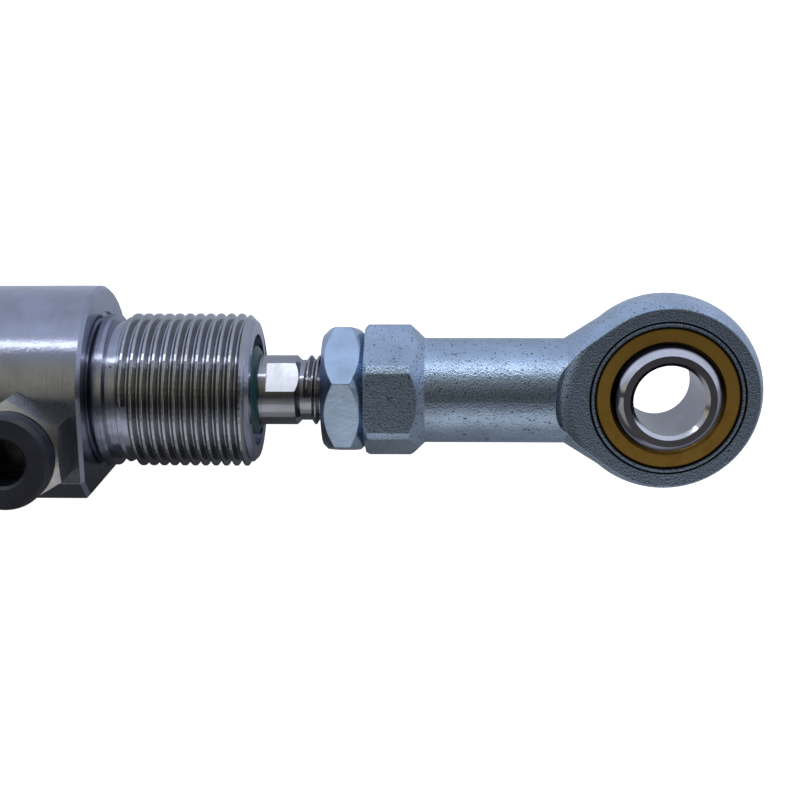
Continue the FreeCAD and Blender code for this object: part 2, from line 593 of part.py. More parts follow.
# Push-in fitting, drawn about its own axis with the port flat at zero height.
def fitting():
    bore = "tube_diameter / 2 + 2 * slip"
    stub = "port_diameter / 2 - slip"
    hex_top = "fitting_hex_length"
    body = new_body("fitting_body")
    outline = sketch_on(body, "XY_Plane", "hexagon")
    draw_outline(outline, hexagon("fitting_width", "30"))
    push(body, "hexagon_pad", "Pad", outline, hex_top)
    wide = "fitting_width"
    turn(body, "top_chamfer", "Groove", "V_Axis", [
        ("fitting_width / 2 - fitting_top_inset", hex_top),
        (wide, f"{hex_top} - (fitting_width / 2 + fitting_top_inset) * tan(hexagon_chamfer_angle)"),
        (wide, hex_top),
    ])
    turn(body, "stub", "Revolution", "V_Axis", [
        ("0", "-fitting_stub_length"),
        (f"{stub} - edge_break", "-fitting_stub_length"),
        (stub, "-fitting_stub_length + edge_break"),
        (stub, "fitting_hex_length / 2"),
        ("0", "fitting_hex_length / 2"),
    ])
    turn(body, "gasket_seat", "Groove", "V_Axis", [
        (stub, "-beyond"),
        (stub, "gasket_section - slip"),
        ("(gasket_diameter + gasket_section) / 2 + slip", "gasket_section - slip"),
        ("(gasket_diameter + gasket_section) / 2 + slip", "-beyond"),
    ])
    seal_floor = "tube_seal_floor + gasket_section"
    chamber = "fitting_chamber_diameter / 2"
    lip_floor = f"{hex_top} - fitting_lip"
    turn(body, "tube_way", "Groove", "V_Axis", [
        ("0", "-fitting_stub_length - beyond"),
        ("fitting_floor_diameter / 2", "-fitting_stub_length - beyond"),
        ("fitting_floor_diameter / 2", "-fitting_stub_length + fitting_stop"),
        (bore, "-fitting_stub_length + fitting_stop"),
        (bore, seal_floor),
        (chamber, seal_floor),
        (chamber, lip_floor),
        (f"{chamber} - fitting_lip_reach", lip_floor),
        (f"{chamber} - fitting_lip_reach", f"{hex_top} + beyond"),
        ("0", f"{hex_top} + beyond"),
    ])
    place(body, "-port_setback", PORT_Y, "port_flat")

    gasket = o_ring("fitting_gasket", "gasket_diameter / 2", "gasket_section / 2 - slip")
    place(gasket, "-port_setback", PORT_Y, "port_flat + gasket_section / 2 - slip")

    seal = new_body("fitting_tube_seal")
    outer = f"{chamber} - slip"
    seal_top = f"{seal_floor} + tube_seal_length"
    turn(seal, "ring", "Revolution", "V_Axis", [
        (f"{bore} + slip", f"{seal_floor} + tube_seal_length / 2"),
        (f"{bore} + slip + tube_seal_bevel", seal_floor),
        (outer, seal_floor),
        (outer, seal_top),
        (f"{bore} + slip + tube_seal_bevel", seal_top),
    ])
    place(seal, "-port_setback", PORT_Y, "port_flat")

    collet = new_body("fitting_collet")
    collet_top = f"{lip_floor} - slip"
    base_top = f"{seal_top} + collet_wall"
    turn(collet, "fingers", "Revolution", "V_Axis", [
        (outer, seal_top),
        (outer, collet_top),
        (f"{outer} - collet_wall", collet_top),
        (f"{outer} - collet_wall", base_top),
        (f"{bore} + 2 * slip", base_top),
        (f"{bore} + 2 * slip", seal_top),
    ])
    place(collet, "-port_setback", PORT_Y, "port_flat")

    ring = new_body("fitting_release_ring")
    skirt = "ring_skirt_diameter / 2"
    button_floor = f"{hex_top} + ring_travel + 2 * slip"
    button_top = f"{button_floor} + ring_height"
    skirt_floor = f"{base_top} + ring_travel + 2 * slip"
    turn(ring, "button", "Revolution", "V_Axis", [
        (f"{bore} + slip", skirt_floor),
        (skirt, skirt_floor),
        (skirt, button_floor),
        ("ring_diameter / 2", button_floor),
        ("ring_diameter / 2", f"{button_top} - ring_chamfer"),
        ("ring_diameter / 2 - ring_chamfer", button_top),
        (f"{bore} + slip + edge_break", button_top),
        (f"{bore} + slip", f"{button_top} - edge_break"),
    ])
    place(ring, "-port_setback", PORT_Y, "port_flat")


# Piston rod with its wrench flats, its front thread and the stub that carries the piston.
def piston_rod():
    body = new_body("piston_rod")
    radius = "rod_diameter / 2"
    stub_end = f"{PISTON_BACK} - (piston_nut_length - piston_nut_sunk) - stub_beyond_nut"
    turn(body, "bar", "Revolution", "H_Axis", [
        (stub_end, "0"),
        (stub_end, "stub_diameter / 2 - edge_break"),
        (f"{stub_end} + edge_break", "stub_diameter / 2"),
        (PISTON_FRONT, "stub_diameter / 2"),
        (PISTON_FRONT, f"{radius} - edge_break"),
        (f"{PISTON_FRONT} + edge_break", radius),
        (f"rod_reach - ({radius} - rod_thread_root)", radius),
        ("rod_reach", "rod_thread_root"),
        ("rod_reach + rod_thread_relief", "rod_thread_root"),
        (f"rod_reach + rod_thread_relief + ({radius} - rod_thread_root)", radius),
        ("rod_reach + rod_thread_length - rod_chamfer", radius),
        ("rod_reach + rod_thread_length", f"{radius} - rod_chamfer"),
        ("rod_reach + rod_thread_length", "0"),
    ])
    flats = sketch_on(body, "YZ_Plane", "wrench_flats", "rod_reach - wrench_length")
    low, high = "wrench_width / 2", "rod_diameter"
    corners = ((low, f"-{high}"), (high, f"-{high}"), (high, high), (low, high))
    for side in ("", "180 + "):
        turned = [(f"({a}) * cos({side}90 - wrench_turn) - ({b}) * sin({side}90 - wrench_turn)",
                   f"({a}) * sin({side}90 - wrench_turn) + ({b}) * cos({side}90 - wrench_turn)")
                  for a, b in corners]
        draw_outline(flats, turned)
    push(body, "flats", "Pocket", flats, "wrench_length", backwards=True)


# Piston: two halves clamped on the stub with a ring magnet between them, seals and a guide ring.
def piston():
    stub = "stub_diameter / 2"
    metal = "bore / 2 - piston_gap"
    hub_seal_floor = f"{stub} + piston_seal_section + slip"
    groove_floor = "lip_groove_diameter / 2"
    front = new_body("piston_front_half")
    turn(front, "disc", "Revolution", "H_Axis", [
        (MAGNET_FRONT, stub),
        (MAGNET_FRONT, metal),
        (f"{PISTON_FRONT} - lip_groove_setback - lip_groove_width", metal),
        (f"{PISTON_FRONT} - lip_groove_setback - lip_groove_width", groove_floor),
        (f"{PISTON_FRONT} - lip_groove_setback", groove_floor),
        (f"{PISTON_FRONT} - lip_groove_setback", metal),
        (f"{PISTON_FRONT} - edge_break", metal),
        (PISTON_FRONT, f"{metal} - edge_break"),
        (PISTON_FRONT, stub),
        (f"{PISTON_FRONT} - piston_seal_setback", stub),
        (f"{PISTON_FRONT} - piston_seal_setback", hub_seal_floor),
        (f"{PISTON_FRONT} - piston_seal_setback - piston_seal_section - 2 * slip", hub_seal_floor),
        (f"{PISTON_FRONT} - piston_seal_setback - piston_seal_section - 2 * slip", stub),
    ])
    hub_seal_x = f"{PISTON_FRONT} - piston_seal_setback - piston_seal_section / 2 - slip"
    hub_seal_middle = f"{stub} + piston_seal_section / 2 + slip / 2"
    o_ring_on_rod_axis("piston_oring", hub_seal_x, hub_seal_middle, "piston_seal_section / 2")
    nut_seat = f"{PISTON_BACK} + piston_nut_sunk"
    nut_room = "piston_nut_width / sqrt(3) + piston_nut_room"
    rear = new_body("piston_rear_half")
    turn(rear, "disc", "Revolution", "H_Axis", [
        (MAGNET_BACK, stub),
        (nut_seat, stub),
        (nut_seat, nut_room),
        (PISTON_BACK, nut_room),
        (PISTON_BACK, f"{metal} - edge_break"),
        (f"{PISTON_BACK} + edge_break", metal),
        (f"{PISTON_BACK} + lip_groove_setback", metal),
        (f"{PISTON_BACK} + lip_groove_setback", groove_floor),
        (f"{PISTON_BACK} + lip_groove_setback + lip_groove_width", groove_floor),
        (f"{PISTON_BACK} + lip_groove_setback + lip_groove_width", metal),
        (MAGNET_BACK, metal),
    ])
    magnet = new_body("piston_magnet")
    turn(magnet, "ring", "Revolution", "H_Axis", [
        (MAGNET_BACK, f"{stub} + magnet_gap"),
        (MAGNET_BACK, "magnet_diameter / 2"),
        (MAGNET_FRONT, "magnet_diameter / 2"),
        (MAGNET_FRONT, f"{stub} + magnet_gap"),
    ])
    guide = new_body("piston_guide_ring")
    turn(guide, "ring", "Revolution", "H_Axis", [
        (f"{MAGNET_BACK} + slip", "magnet_diameter / 2 + running_gap"),
        (f"{MAGNET_BACK} + slip", "bore / 2 - running_gap"),
        (f"{MAGNET_FRONT} - slip", "bore / 2 - running_gap"),
        (f"{MAGNET_FRONT} - slip", "magnet_diameter / 2 + running_gap"),
    ])
    lips = (("piston_seal_front", PISTON_FRONT, "-1"), ("piston_seal_rear", PISTON_BACK, "1"))
    for name, face, inward in lips:
        outer_side = f"{face} + {inward} * (lip_groove_setback + slip)"
        middle = f"{face} + {inward} * (lip_groove_setback + lip_groove_width / 2)"
        inner_side = f"{face} + {inward} * (lip_groove_setback + lip_groove_width - slip)"
        lip = new_body(name)
        turn(lip, "ring", "Revolution", "H_Axis", [
            (inner_side, f"{groove_floor} + running_gap"),
            (outer_side, f"{groove_floor} + running_gap"),
            (outer_side, f"{groove_floor} + lip_thickness"),
            (middle, f"{groove_floor} + lip_thickness + lip_bevel"),
            (outer_side, "bore / 2 - running_gap - lip_thickness"),
            (outer_side, "bore / 2 - running_gap"),
            (middle, "bore / 2 - running_gap - seal_relief"),
            (inner_side, "bore / 2 - lip_bevel"),
        ])
    nut = new_body("piston_nut")
    outline = sketch_on(nut, "YZ_Plane", "hexagon", f"{nut_seat} - piston_nut_length")
    draw_outline(outline, hexagon("piston_nut_width", "0"))
    draw_circle(outline, "0", "0", stub)
    push(nut, "hexagon_pad", "Pad", outline, "piston_nut_length")


# Jam nut with a broad chamfer on both faces.
def jam_nut():
    body = new_body("jam_nut")
    outline = sketch_on(body, "YZ_Plane", "hexagon", JAM_NUT_BACK)
    draw_outline(outline, hexagon("jam_nut_width", "90 - jam_nut_turn"))
    draw_circle(outline, "0", "0", "rod_diameter / 2 + slip")
    push(body, "hexagon_pad", "Pad", outline, "jam_nut_length")
    face = "jam_nut_chamfer_diameter / 2"
    for name, station, inward in (("back", JAM_NUT_BACK, "1"), ("front", EYE_FACE, "-1")):
        turn(body, f"{name}_chamfer", "Groove", "H_Axis", [
            (station, face),
            (f"{station} + {inward} * jam_nut_length / 2", f"{face} + jam_nut_length / 2"),
            (f"{station} - {inward} * beyond", f"{face} + jam_nut_length / 2"),
            (f"{station} - {inward} * beyond", face),
        ])


# Rod eye: a forging with a wrench collar, a neck that flares into the head, and machined faces that
# run out towards the neck in a concave scoop. Drawn about the centre of the eye.
def rod_eye():
    body = new_body("rod_eye")
    collar = "eye_collar_diameter / 2"
    neck = "eye_neck_diameter / 2"
    flare_end = "-eye_diameter / 2 * sin(eye_flare_angle)"
    flare_radius = "(eye_diameter / 2 * cos(eye_flare_angle) - eye_flare_inset)"
    flare_start = f"{flare_end} - ({flare_radius} - {neck}) / tan(eye_flare_angle)"
    turn(body, "shank", "Revolution", "H_Axis", [
        ("-eye_length", "0"),
        ("-eye_length", f"{collar} - eye_collar_chamfer"),
        ("-eye_length + eye_collar_chamfer", collar),
        ("-eye_length + eye_collar_length", collar),
        ("-eye_length + eye_collar_length + eye_collar_taper", neck),
        (flare_start, neck),
        (flare_end, flare_radius),
        (flare_end, "0"),
    ])
    half = "eye_thickness / 2"
    face = "(eye_diameter / 2 - eye_rim)"
    crown_radius = f"(({half}) ^ 2 + eye_rim ^ 2) / (2 * eye_rim)"
    turn(body, "head", "Revolution", "V_Axis", [
        ("0", f"-{half}"),
        (face, f"-{half}", (crown_radius, "eye_diameter / 2", "0")),
        (face, half),
        ("0", half),
    ])
    scoop_end = "eye_scoop_start + eye_scoop_radius"
    bend = "eye_scoop_radius * cos(45)"
    for name, side in (("top", "1"), ("bottom", "-1")):
        turn(body, f"{name}_face", "Groove", "V_Axis", [
            ("0", f"{side} * {half}"),
            ("eye_scoop_start", f"{side} * {half}", ("eye_scoop_radius", f"eye_scoop_start + {bend}",
                                                    f"{side} * ({half} + eye_scoop_radius - {bend})")),
            (scoop_end, f"{side} * ({half} + eye_scoop_radius)"),
            (scoop_end, f"{side} * eye_diameter / 2"),
            ("0", f"{side} * eye_diameter / 2"),
        ])
        stake = "stake_diameter / 2"
        turn(body, f"{name}_stake", "Groove", "V_Axis", [
            (f"{stake} - stake_width / 2", f"{side} * ({half} + stake_width / 4)"),
            (stake, f"{side} * ({half} - stake_width)"),
            (f"{stake} + stake_width / 2", f"{side} * ({half} + stake_width / 4)"),
        ])
    seat = "race_diameter / 2"
    mouth = "race_diameter / 2 - race_chamfer"
    turn(body, "race_seat", "Groove", "V_Axis", [
        ("0", "-eye_thickness"),
        (mouth, "-eye_thickness"),
        (mouth, "-race_width / 2"),
        (seat, "-race_width / 2 + race_chamfer"),
        (seat, "race_width / 2 - race_chamfer"),
        (mouth, "race_width / 2"),
        (mouth, "eye_thickness"),
        ("0", "eye_thickness"),
    ])
    flats = sketch_on(body, "YZ_Plane", "wrench_hexagon", "-eye_length")
    draw_outline(flats, hexagon("eye_collar_width", "0"))
    draw_circle(flats, "0", "0", "eye_collar_diameter")
    push(body, "wrench_flats", "Pocket", flats, "eye_collar_length + eye_collar_taper", backwards=True)
    thread = "rod_diameter / 2 + slip"
    turn(body, "thread_hole", "Groove", "H_Axis", [
        ("-eye_length - beyond", "0"),
        ("-eye_length - beyond", f"{thread} + eye_countersink + beyond"),
        ("-eye_length + eye_countersink", thread),
        ("-eye_length + eye_thread_depth", thread),
        (f"-eye_length + eye_thread_depth + ({thread}) * tan(drill_point_angle)", "0"),
    ])
    place(body, EYE_X)


# Spherical bearing: race, sliding liner and ball, drawn about the centre of the eye.
def spherical_bearing():
    ball = "(ball_diameter / 2)"
    race_in = f"({ball} + running_gap)"
    liner_out = f"({race_in} + liner_wall)"
    pocket = f"({liner_out} + running_gap)"
    race = new_body("bearing_race")
    half = "(race_width / 2)"
    pocket_half = "(liner_width / 2 + slip)"
    at_face = f"sqrt({race_in} ^ 2 - {half} ^ 2)"
    at_pocket = f"sqrt({race_in} ^ 2 - {pocket_half} ^ 2)"
    pocket_edge = f"sqrt({pocket} ^ 2 - {pocket_half} ^ 2)"
    between = f"(({half} + {pocket_half}) / 2)"
    between_radius = f"sqrt({race_in} ^ 2 - {between} ^ 2)"
    seat = "race_diameter / 2"
    turn(race, "ring", "Revolution", "V_Axis", [
        (at_face, f"-{half}"),
        (f"{seat} - race_chamfer", f"-{half}"),
        (seat, f"-{half} + race_chamfer"),
        (seat, f"{half} - race_chamfer"),
        (f"{seat} - race_chamfer", half),
        (at_face, half, (race_in, between_radius, between)),
        (at_pocket, pocket_half),
        (pocket_edge, pocket_half, (pocket, pocket, "0")),
        (pocket_edge, f"-{pocket_half}"),
        (at_pocket, f"-{pocket_half}", (race_in, between_radius, f"-{between}")),
    ])
    place(race, EYE_X)

    liner = new_body("sliding_liner")
    edge = "(liner_width / 2)"
    inner_edge = f"sqrt({race_in} ^ 2 - {edge} ^ 2)"
    outer_edge = f"sqrt({liner_out} ^ 2 - {edge} ^ 2)"
    turn(liner, "shell", "Revolution", "V_Axis", [
        (inner_edge, f"-{edge}"),
        (outer_edge, f"-{edge}", (liner_out, liner_out, "0")),
        (outer_edge, edge),
        (inner_edge, edge, (race_in, race_in, "0")),
    ])
    place(liner, EYE_X)

    body = new_body("ball")
    land = f"sqrt({ball} ^ 2 - (ball_width / 2) ^ 2)"
    turn(body, "shell", "Revolution", "V_Axis", [
        ("ball_bore / 2", "-ball_width / 2 + ball_chamfer"),
        ("ball_bore / 2 + ball_chamfer", "-ball_width / 2"),
        (land, "-ball_width / 2", (ball, ball, "0")),
        (land, "ball_width / 2"),
        ("ball_bore / 2 + ball_chamfer", "ball_width / 2"),
        ("ball_bore / 2", "ball_width / 2 - ball_chamfer"),
    ])
    place(body, EYE_X)


def check_and_export():
    """Stops on any failed object, then writes one STEP file for each piece."""
    doc.recompute()
    failed = [o.Name for o in doc.Objects if "Invalid" in o.State or "Error" in o.State]
    if failed:
        raise RuntimeError(f"failed objects: {failed}")
    os.makedirs("parts", exist_ok=True)
    for piece in pieces:
        shape = piece.Shape
        if shape.isNull() or not shape.isValid() or not shape.Solids:
            raise RuntimeError(f"bad shape: {piece.Label}")
        shape.exportStep(f"parts/{piece.Label}.step")
        box = shape.BoundBox
        print(f"{piece.Label:22s} solids {len(shape.Solids)}  volume {shape.Volume:9.1f}  "
              f"x {box.XMin:8.2f} {box.XMax:7.2f}  y {box.YMin:6.2f} {box.YMax:6.2f}  "
              f"z {box.ZMin:6.2f} {box.ZMax:6.2f}")


front_cap()
rear_cap()
barrel()
front_rings()
cap_rings()
fitting()
piston_rod()
piston()
jam_nut()
rod_eye()
spherical_bearing()
check_and_export()
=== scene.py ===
# %% [markdown]
# A pneumatic cylinder seen from above: the front cap with its threaded nose, the piston rod with its
# jam nut, and a forged rod eye with a spherical bearing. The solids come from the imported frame, where
# every piece already has its true size and place. This file adds what solids lack: threads, finishes,
# light and a camera.
#
# Units are metres, +X is the way the rod comes out, and +Z looks at the camera.

# %% Load the frame
import json
import math

import bmesh
import bpy
from mathutils import Matrix, Vector


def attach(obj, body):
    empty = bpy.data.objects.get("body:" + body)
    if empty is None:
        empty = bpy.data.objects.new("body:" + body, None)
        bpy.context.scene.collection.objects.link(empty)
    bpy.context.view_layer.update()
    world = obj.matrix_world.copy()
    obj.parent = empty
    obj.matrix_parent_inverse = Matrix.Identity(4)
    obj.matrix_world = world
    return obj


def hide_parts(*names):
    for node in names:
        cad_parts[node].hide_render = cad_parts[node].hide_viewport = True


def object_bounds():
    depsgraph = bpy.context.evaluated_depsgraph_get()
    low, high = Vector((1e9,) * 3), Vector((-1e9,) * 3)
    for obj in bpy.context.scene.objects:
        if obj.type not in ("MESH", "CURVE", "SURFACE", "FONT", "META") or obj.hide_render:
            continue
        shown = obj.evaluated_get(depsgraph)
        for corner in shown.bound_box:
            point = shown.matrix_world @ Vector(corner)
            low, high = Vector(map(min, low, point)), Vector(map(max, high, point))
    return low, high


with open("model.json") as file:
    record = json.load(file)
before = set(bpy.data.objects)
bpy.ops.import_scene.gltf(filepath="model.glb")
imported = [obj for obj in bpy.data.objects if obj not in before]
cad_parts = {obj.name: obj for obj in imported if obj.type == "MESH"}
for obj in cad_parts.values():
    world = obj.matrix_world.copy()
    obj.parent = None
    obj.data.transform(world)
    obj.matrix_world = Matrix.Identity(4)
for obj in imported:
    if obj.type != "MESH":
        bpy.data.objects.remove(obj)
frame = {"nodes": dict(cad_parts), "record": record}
nodes = frame["nodes"]
cad_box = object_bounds()
MM = 0.001
print("pieces in the frame:", len(nodes))


def span_along(node_name):
    """The first and the last station of a CAD piece along X."""
    stations = [vert.co.x for vert in nodes[node_name].data.vertices]
    return min(stations), max(stations)


NOSE_FRONT = span_along("front_cap")[1]
ROD_TIP = span_along("piston_rod")[1]
EYE_ALONG = sum(span_along("ball")) / 2
print("nose front, rod tip and eye at:", NOSE_FRONT, ROD_TIP, EYE_ALONG)

# %% [markdown]
# Metal looks flat when one colour and one gloss cover all of it. Three effects break it up, and every
# finish below is mixed from them: a cloud of slow stains, a fine grain, and tool lines. A fourth one
# draws dark joints round the bearing.
#
# Each effect is a node group: a small graph with named inputs and outputs that is built once and then
# placed in any material with its own values. The patterns are read in Object coordinates. All pieces
# sit at the origin, so a position in the pattern is a position on the real object, in metres.

# %% Helpers for node graphs
def add_node(tree, kind, place, **settings):
    """Adds a node, puts it at a place in the graph and sets its options."""
    node = tree.nodes.new(kind)
    node.location = place
    for option, value in settings.items():
        setattr(node, option, value)
    return node


def new_group(name, inputs, outputs):
    """An empty node group. Inputs are (name, kind, value) and outputs are (name, kind)."""
    group = bpy.data.node_groups.new(name, "ShaderNodeTree")
    for label, kind, value in inputs:
        socket = group.interface.new_socket(label, in_out="INPUT", socket_type=kind)
        socket.default_value = value
    for label, kind in outputs:
        group.interface.new_socket(label, in_out="OUTPUT", socket_type=kind)
    start = add_node(group, "NodeGroupInput", (-900, 0))
    end = add_node(group, "NodeGroupOutput", (900, 0))
    return group, start, end


def connect(tree, *pairs):
    """Links output sockets to input sockets."""
    for source, target in pairs:
        tree.links.new(source, target)


FLOAT = "NodeSocketFloat"
COLOUR = "NodeSocketColor"
VECTOR = "NodeSocketVector"

# %% [markdown]
# Stains: metal that has been handled and oiled is a little darker and duller in soft clouds. A noise
# texture gives the clouds. Map Range turns its grey values into a mask from 0 to 1, and the mask mixes
# the clean colour with the stained one. The same mask shifts the roughness, because oil and dust change
# the gloss as well.

# %% Group for stains
STAINS_BEGIN = 0.38
STAINS_ARE_FULL = 0.68


def make_stain_group():
    """A clean and a stained colour mixed in clouds, and the roughness that goes with them."""
    group, start, end = new_group(
        "Stains",
        [("Position", VECTOR, (0, 0, 0)), ("Clean", COLOUR, (1, 1, 1, 1)),
         ("Stained", COLOUR, (1, 1, 1, 1)), ("Size", FLOAT, 200.0), ("Amount", FLOAT, 0.5),
         ("Roughness", FLOAT, 0.3), ("Roughness change", FLOAT, 0.1)],
        [("Colour", COLOUR), ("Roughness", FLOAT)])
    cloud = add_node(group, "ShaderNodeTexNoise", (-650, 150))
    cloud.inputs["Detail"].default_value = 5.0
    cloud.inputs["Roughness"].default_value = 0.6
    mask = add_node(group, "ShaderNodeMapRange", (-400, 150))
    mask.inputs["From Min"].default_value = STAINS_BEGIN
    mask.inputs["From Max"].default_value = STAINS_ARE_FULL
    scaled = add_node(group, "ShaderNodeMath", (-200, 150), operation="MULTIPLY")
    tint = add_node(group, "ShaderNodeMix", (100, 250), data_type="RGBA")
    duller = add_node(group, "ShaderNodeMath", (100, -150), operation="MULTIPLY_ADD")
    connect(group,
            (start.outputs["Position"], cloud.inputs["Vector"]),
            (start.outputs["Size"], cloud.inputs["Scale"]),
            (cloud.outputs["Fac"], mask.inputs["Value"]),
            (mask.outputs["Result"], scaled.inputs[0]),
            (start.outputs["Amount"], scaled.inputs[1]),
            (scaled.outputs[0], tint.inputs["Factor"]),
            (start.outputs["Clean"], tint.inputs["A"]),
            (start.outputs["Stained"], tint.inputs["B"]),
            (scaled.outputs[0], duller.inputs[0]),
            (start.outputs["Roughness change"], duller.inputs[1]),
            (start.outputs["Roughness"], duller.inputs[2]),
            (tint.outputs["Result"], end.inputs["Colour"]),
            (duller.outputs[0], end.inputs["Roughness"]))
    return group


stains = make_stain_group()
print("group", stains.name)

# %% [markdown]
# Grain: plating on a blasted forging sparkles, because the surface is a field of tiny facets. Two noise
# textures of different size are mixed and used as the height of a Bump node. Bump doesn't move the
# surface: it only tilts the normal, which is what makes each facet catch the light by itself.
#
# The same height gives two masks. The highest facets are the sparks, which can be glossier than the
# rest, and the lowest places are pits, where the surface can be darker.

# %% Group for grain
COARSE_SCALE = 0.3
SPARKS_BEGIN = 0.45
SPARKS_ARE_FULL = 0.62
PIT_CONTRAST = 14.0


def make_grain_group():
    """A height of two mixed noises, with a mask for its highest and one for its lowest places."""
    group, start, end = new_group(
        "Grain",
        [("Position", VECTOR, (0, 0, 0)), ("Size", FLOAT, 2500.0), ("Coarse share", FLOAT, 0.3),
         ("Pit level", FLOAT, 0.0)],
        [("Height", FLOAT), ("Sparks", FLOAT), ("Pits", FLOAT)])
    fine = add_node(group, "ShaderNodeTexNoise", (-600, 200))
    fine.inputs["Detail"].default_value = 2.0
    larger = add_node(group, "ShaderNodeMath", (-800, -150), operation="MULTIPLY")
    larger.inputs[1].default_value = COARSE_SCALE
    coarse = add_node(group, "ShaderNodeTexNoise", (-600, -150))
    coarse.inputs["Detail"].default_value = 3.0
    both = add_node(group, "ShaderNodeMix", (-300, 100), data_type="FLOAT")
    sparks = add_node(group, "ShaderNodeMapRange", (0, -150))
    sparks.inputs["From Min"].default_value = SPARKS_BEGIN
    sparks.inputs["From Max"].default_value = SPARKS_ARE_FULL
    depth = add_node(group, "ShaderNodeMath", (0, -450), operation="SUBTRACT")
    pits = add_node(group, "ShaderNodeMath", (250, -450), operation="MULTIPLY", use_clamp=True)
    pits.inputs[1].default_value = PIT_CONTRAST
    connect(group,
            (start.outputs["Position"], fine.inputs["Vector"]),
            (start.outputs["Position"], coarse.inputs["Vector"]),
            (start.outputs["Size"], fine.inputs["Scale"]),
            (start.outputs["Size"], larger.inputs[0]),
            (larger.outputs[0], coarse.inputs["Scale"]),
            (start.outputs["Coarse share"], both.inputs["Factor"]),
            (fine.outputs["Fac"], both.inputs["A"]),
            (coarse.outputs["Fac"], both.inputs["B"]),
            (both.outputs["Result"], sparks.inputs["Value"]),
            (start.outputs["Pit level"], depth.inputs[0]),
            (both.outputs["Result"], depth.inputs[1]),
            (depth.outputs[0], pits.inputs[0]),
            (both.outputs["Result"], end.inputs["Height"]),
            (sparks.outputs["Result"], end.inputs["Sparks"]),
            (pits.outputs[0], end.inputs["Pits"]))
    return group


grain = make_grain_group()
print("group", grain.name)

# %% [markdown]
# Tool lines: a lathe leaves fine rings. They change fast along the axis and hardly at all around it, so
# the pattern is a noise read on a stretched position: the coordinate along the axis is multiplied by
# thousands and the other two by far less.

# %% Group for tool lines
def make_line_group():
    """A height that changes as fast along each axis as the stretch says."""
    group, start, end = new_group(
        "Tool lines",
        [("Position", VECTOR, (0, 0, 0)), ("Stretch", VECTOR, (4000, 40, 40))],
        [("Height", FLOAT)])
    stretched = add_node(group, "ShaderNodeVectorMath", (-600, 0), operation="MULTIPLY")
    lines = add_node(group, "ShaderNodeTexNoise", (-350, 0))
    lines.inputs["Scale"].default_value = 1.0
    lines.inputs["Detail"].default_value = 3.0
    connect(group,
            (start.outputs["Position"], stretched.inputs[0]),
            (start.outputs["Stretch"], stretched.inputs[1]),
            (stretched.outputs["Vector"], lines.inputs["Vector"]),
            (lines.outputs["Fac"], end.inputs["Height"]))
    return group


tool_lines = make_line_group()
print("group", tool_lines.name)

# %% [markdown]
# Grime rings: dirt and grease stay in the fine joints round the spherical bearing and draw them as dark
# lines. The distance from the axis of the eye tells how far a point is from such a joint, and close to
# it the colour turns into the colour of the grime.

# %% Group for grime rings
EYE_CENTRE = (EYE_ALONG, 0.0, 0.0)
DARKEST_SHARE = 0.25


def distance_from_eye_axis(tree, position, place):
    """The distance of a position from the vertical line through the centre of the eye."""
    flat = add_node(tree, "ShaderNodeVectorMath", place, operation="MULTIPLY")
    flat.inputs[1].default_value = (1.0, 1.0, 0.0)
    from_axis = add_node(tree, "ShaderNodeVectorMath", (place[0] + 200, place[1]), operation="DISTANCE")
    from_axis.inputs[1].default_value = EYE_CENTRE
    connect(tree, (position, flat.inputs[0]), (flat.outputs["Vector"], from_axis.inputs[0]))
    return from_axis.outputs["Value"]


def make_grime_group():
    """A colour that turns into grime close to a circle round the axis of the eye."""
    group, start, end = new_group(
        "Grime ring",
        [("Position", VECTOR, (0, 0, 0)), ("Clean", COLOUR, (1, 1, 1, 1)), ("Grime", COLOUR, (0, 0, 0, 1)),
         ("Radius", FLOAT, 0.01), ("Half width", FLOAT, 0.0003)],
        [("Colour", COLOUR)])
    past_joint = add_node(group, "ShaderNodeMath", (-250, 0), operation="SUBTRACT")
    gap = add_node(group, "ShaderNodeMath", (-50, 0), operation="ABSOLUTE")
    darkest = add_node(group, "ShaderNodeMath", (-50, -200), operation="MULTIPLY")
    darkest.inputs[1].default_value = DARKEST_SHARE
    fade = add_node(group, "ShaderNodeMapRange", (200, 0), interpolation_type="SMOOTHSTEP")
    both = add_node(group, "ShaderNodeMix", (500, 0), data_type="RGBA")
    connect(group,
            (distance_from_eye_axis(group, start.outputs["Position"], (-700, 0)), past_joint.inputs[0]),
            (start.outputs["Radius"], past_joint.inputs[1]),
            (past_joint.outputs[0], gap.inputs[0]),
            (start.outputs["Half width"], darkest.inputs[0]),
            (gap.outputs[0], fade.inputs["Value"]),
            (darkest.outputs[0], fade.inputs["From Min"]),
            (start.outputs["Half width"], fade.inputs["From Max"]),
            (fade.outputs["Result"], both.inputs["Factor"]),
            (start.outputs["Grime"], both.inputs["A"]),
            (start.outputs["Clean"], both.inputs["B"]),
            (both.outputs["Result"], end.inputs["Colour"]))
    return group


grime = make_grime_group()
print("group", grime.name)

# %% [markdown]
# A finish is one material: a shader with stains for its colour and roughness, and grain, tool lines or
# both for its bump. One helper makes them all, so that each finish below reads as a short list of what
# makes it different.

# %% Helper for finishes
def hex_colour(text):
    """A colour written as in a paint program, turned into the linear values that shaders use."""
    values = [int(text[i:i + 2], 16) / 255 for i in (0, 2, 4)]
    linear = [v / 12.92 if v <= 0.04045 else ((v + 0.055) / 1.055) ** 2.4 for v in values]
    return (*linear, 1.0)


def place_group(tree, group, place, position, **values):
    """Puts a group in a material and sets its inputs. Underscores in a name stand for spaces."""
    node = add_node(tree, "ShaderNodeGroup", place)
    node.node_tree = group
    connect(tree, (position, node.inputs["Position"]))
    for label, value in values.items():
        node.inputs[label.replace("_", " ")].default_value = value
    return node


GRAIN_HEIGHT = 0.2 * MM
GROOVE_HEIGHT = 0.1 * MM


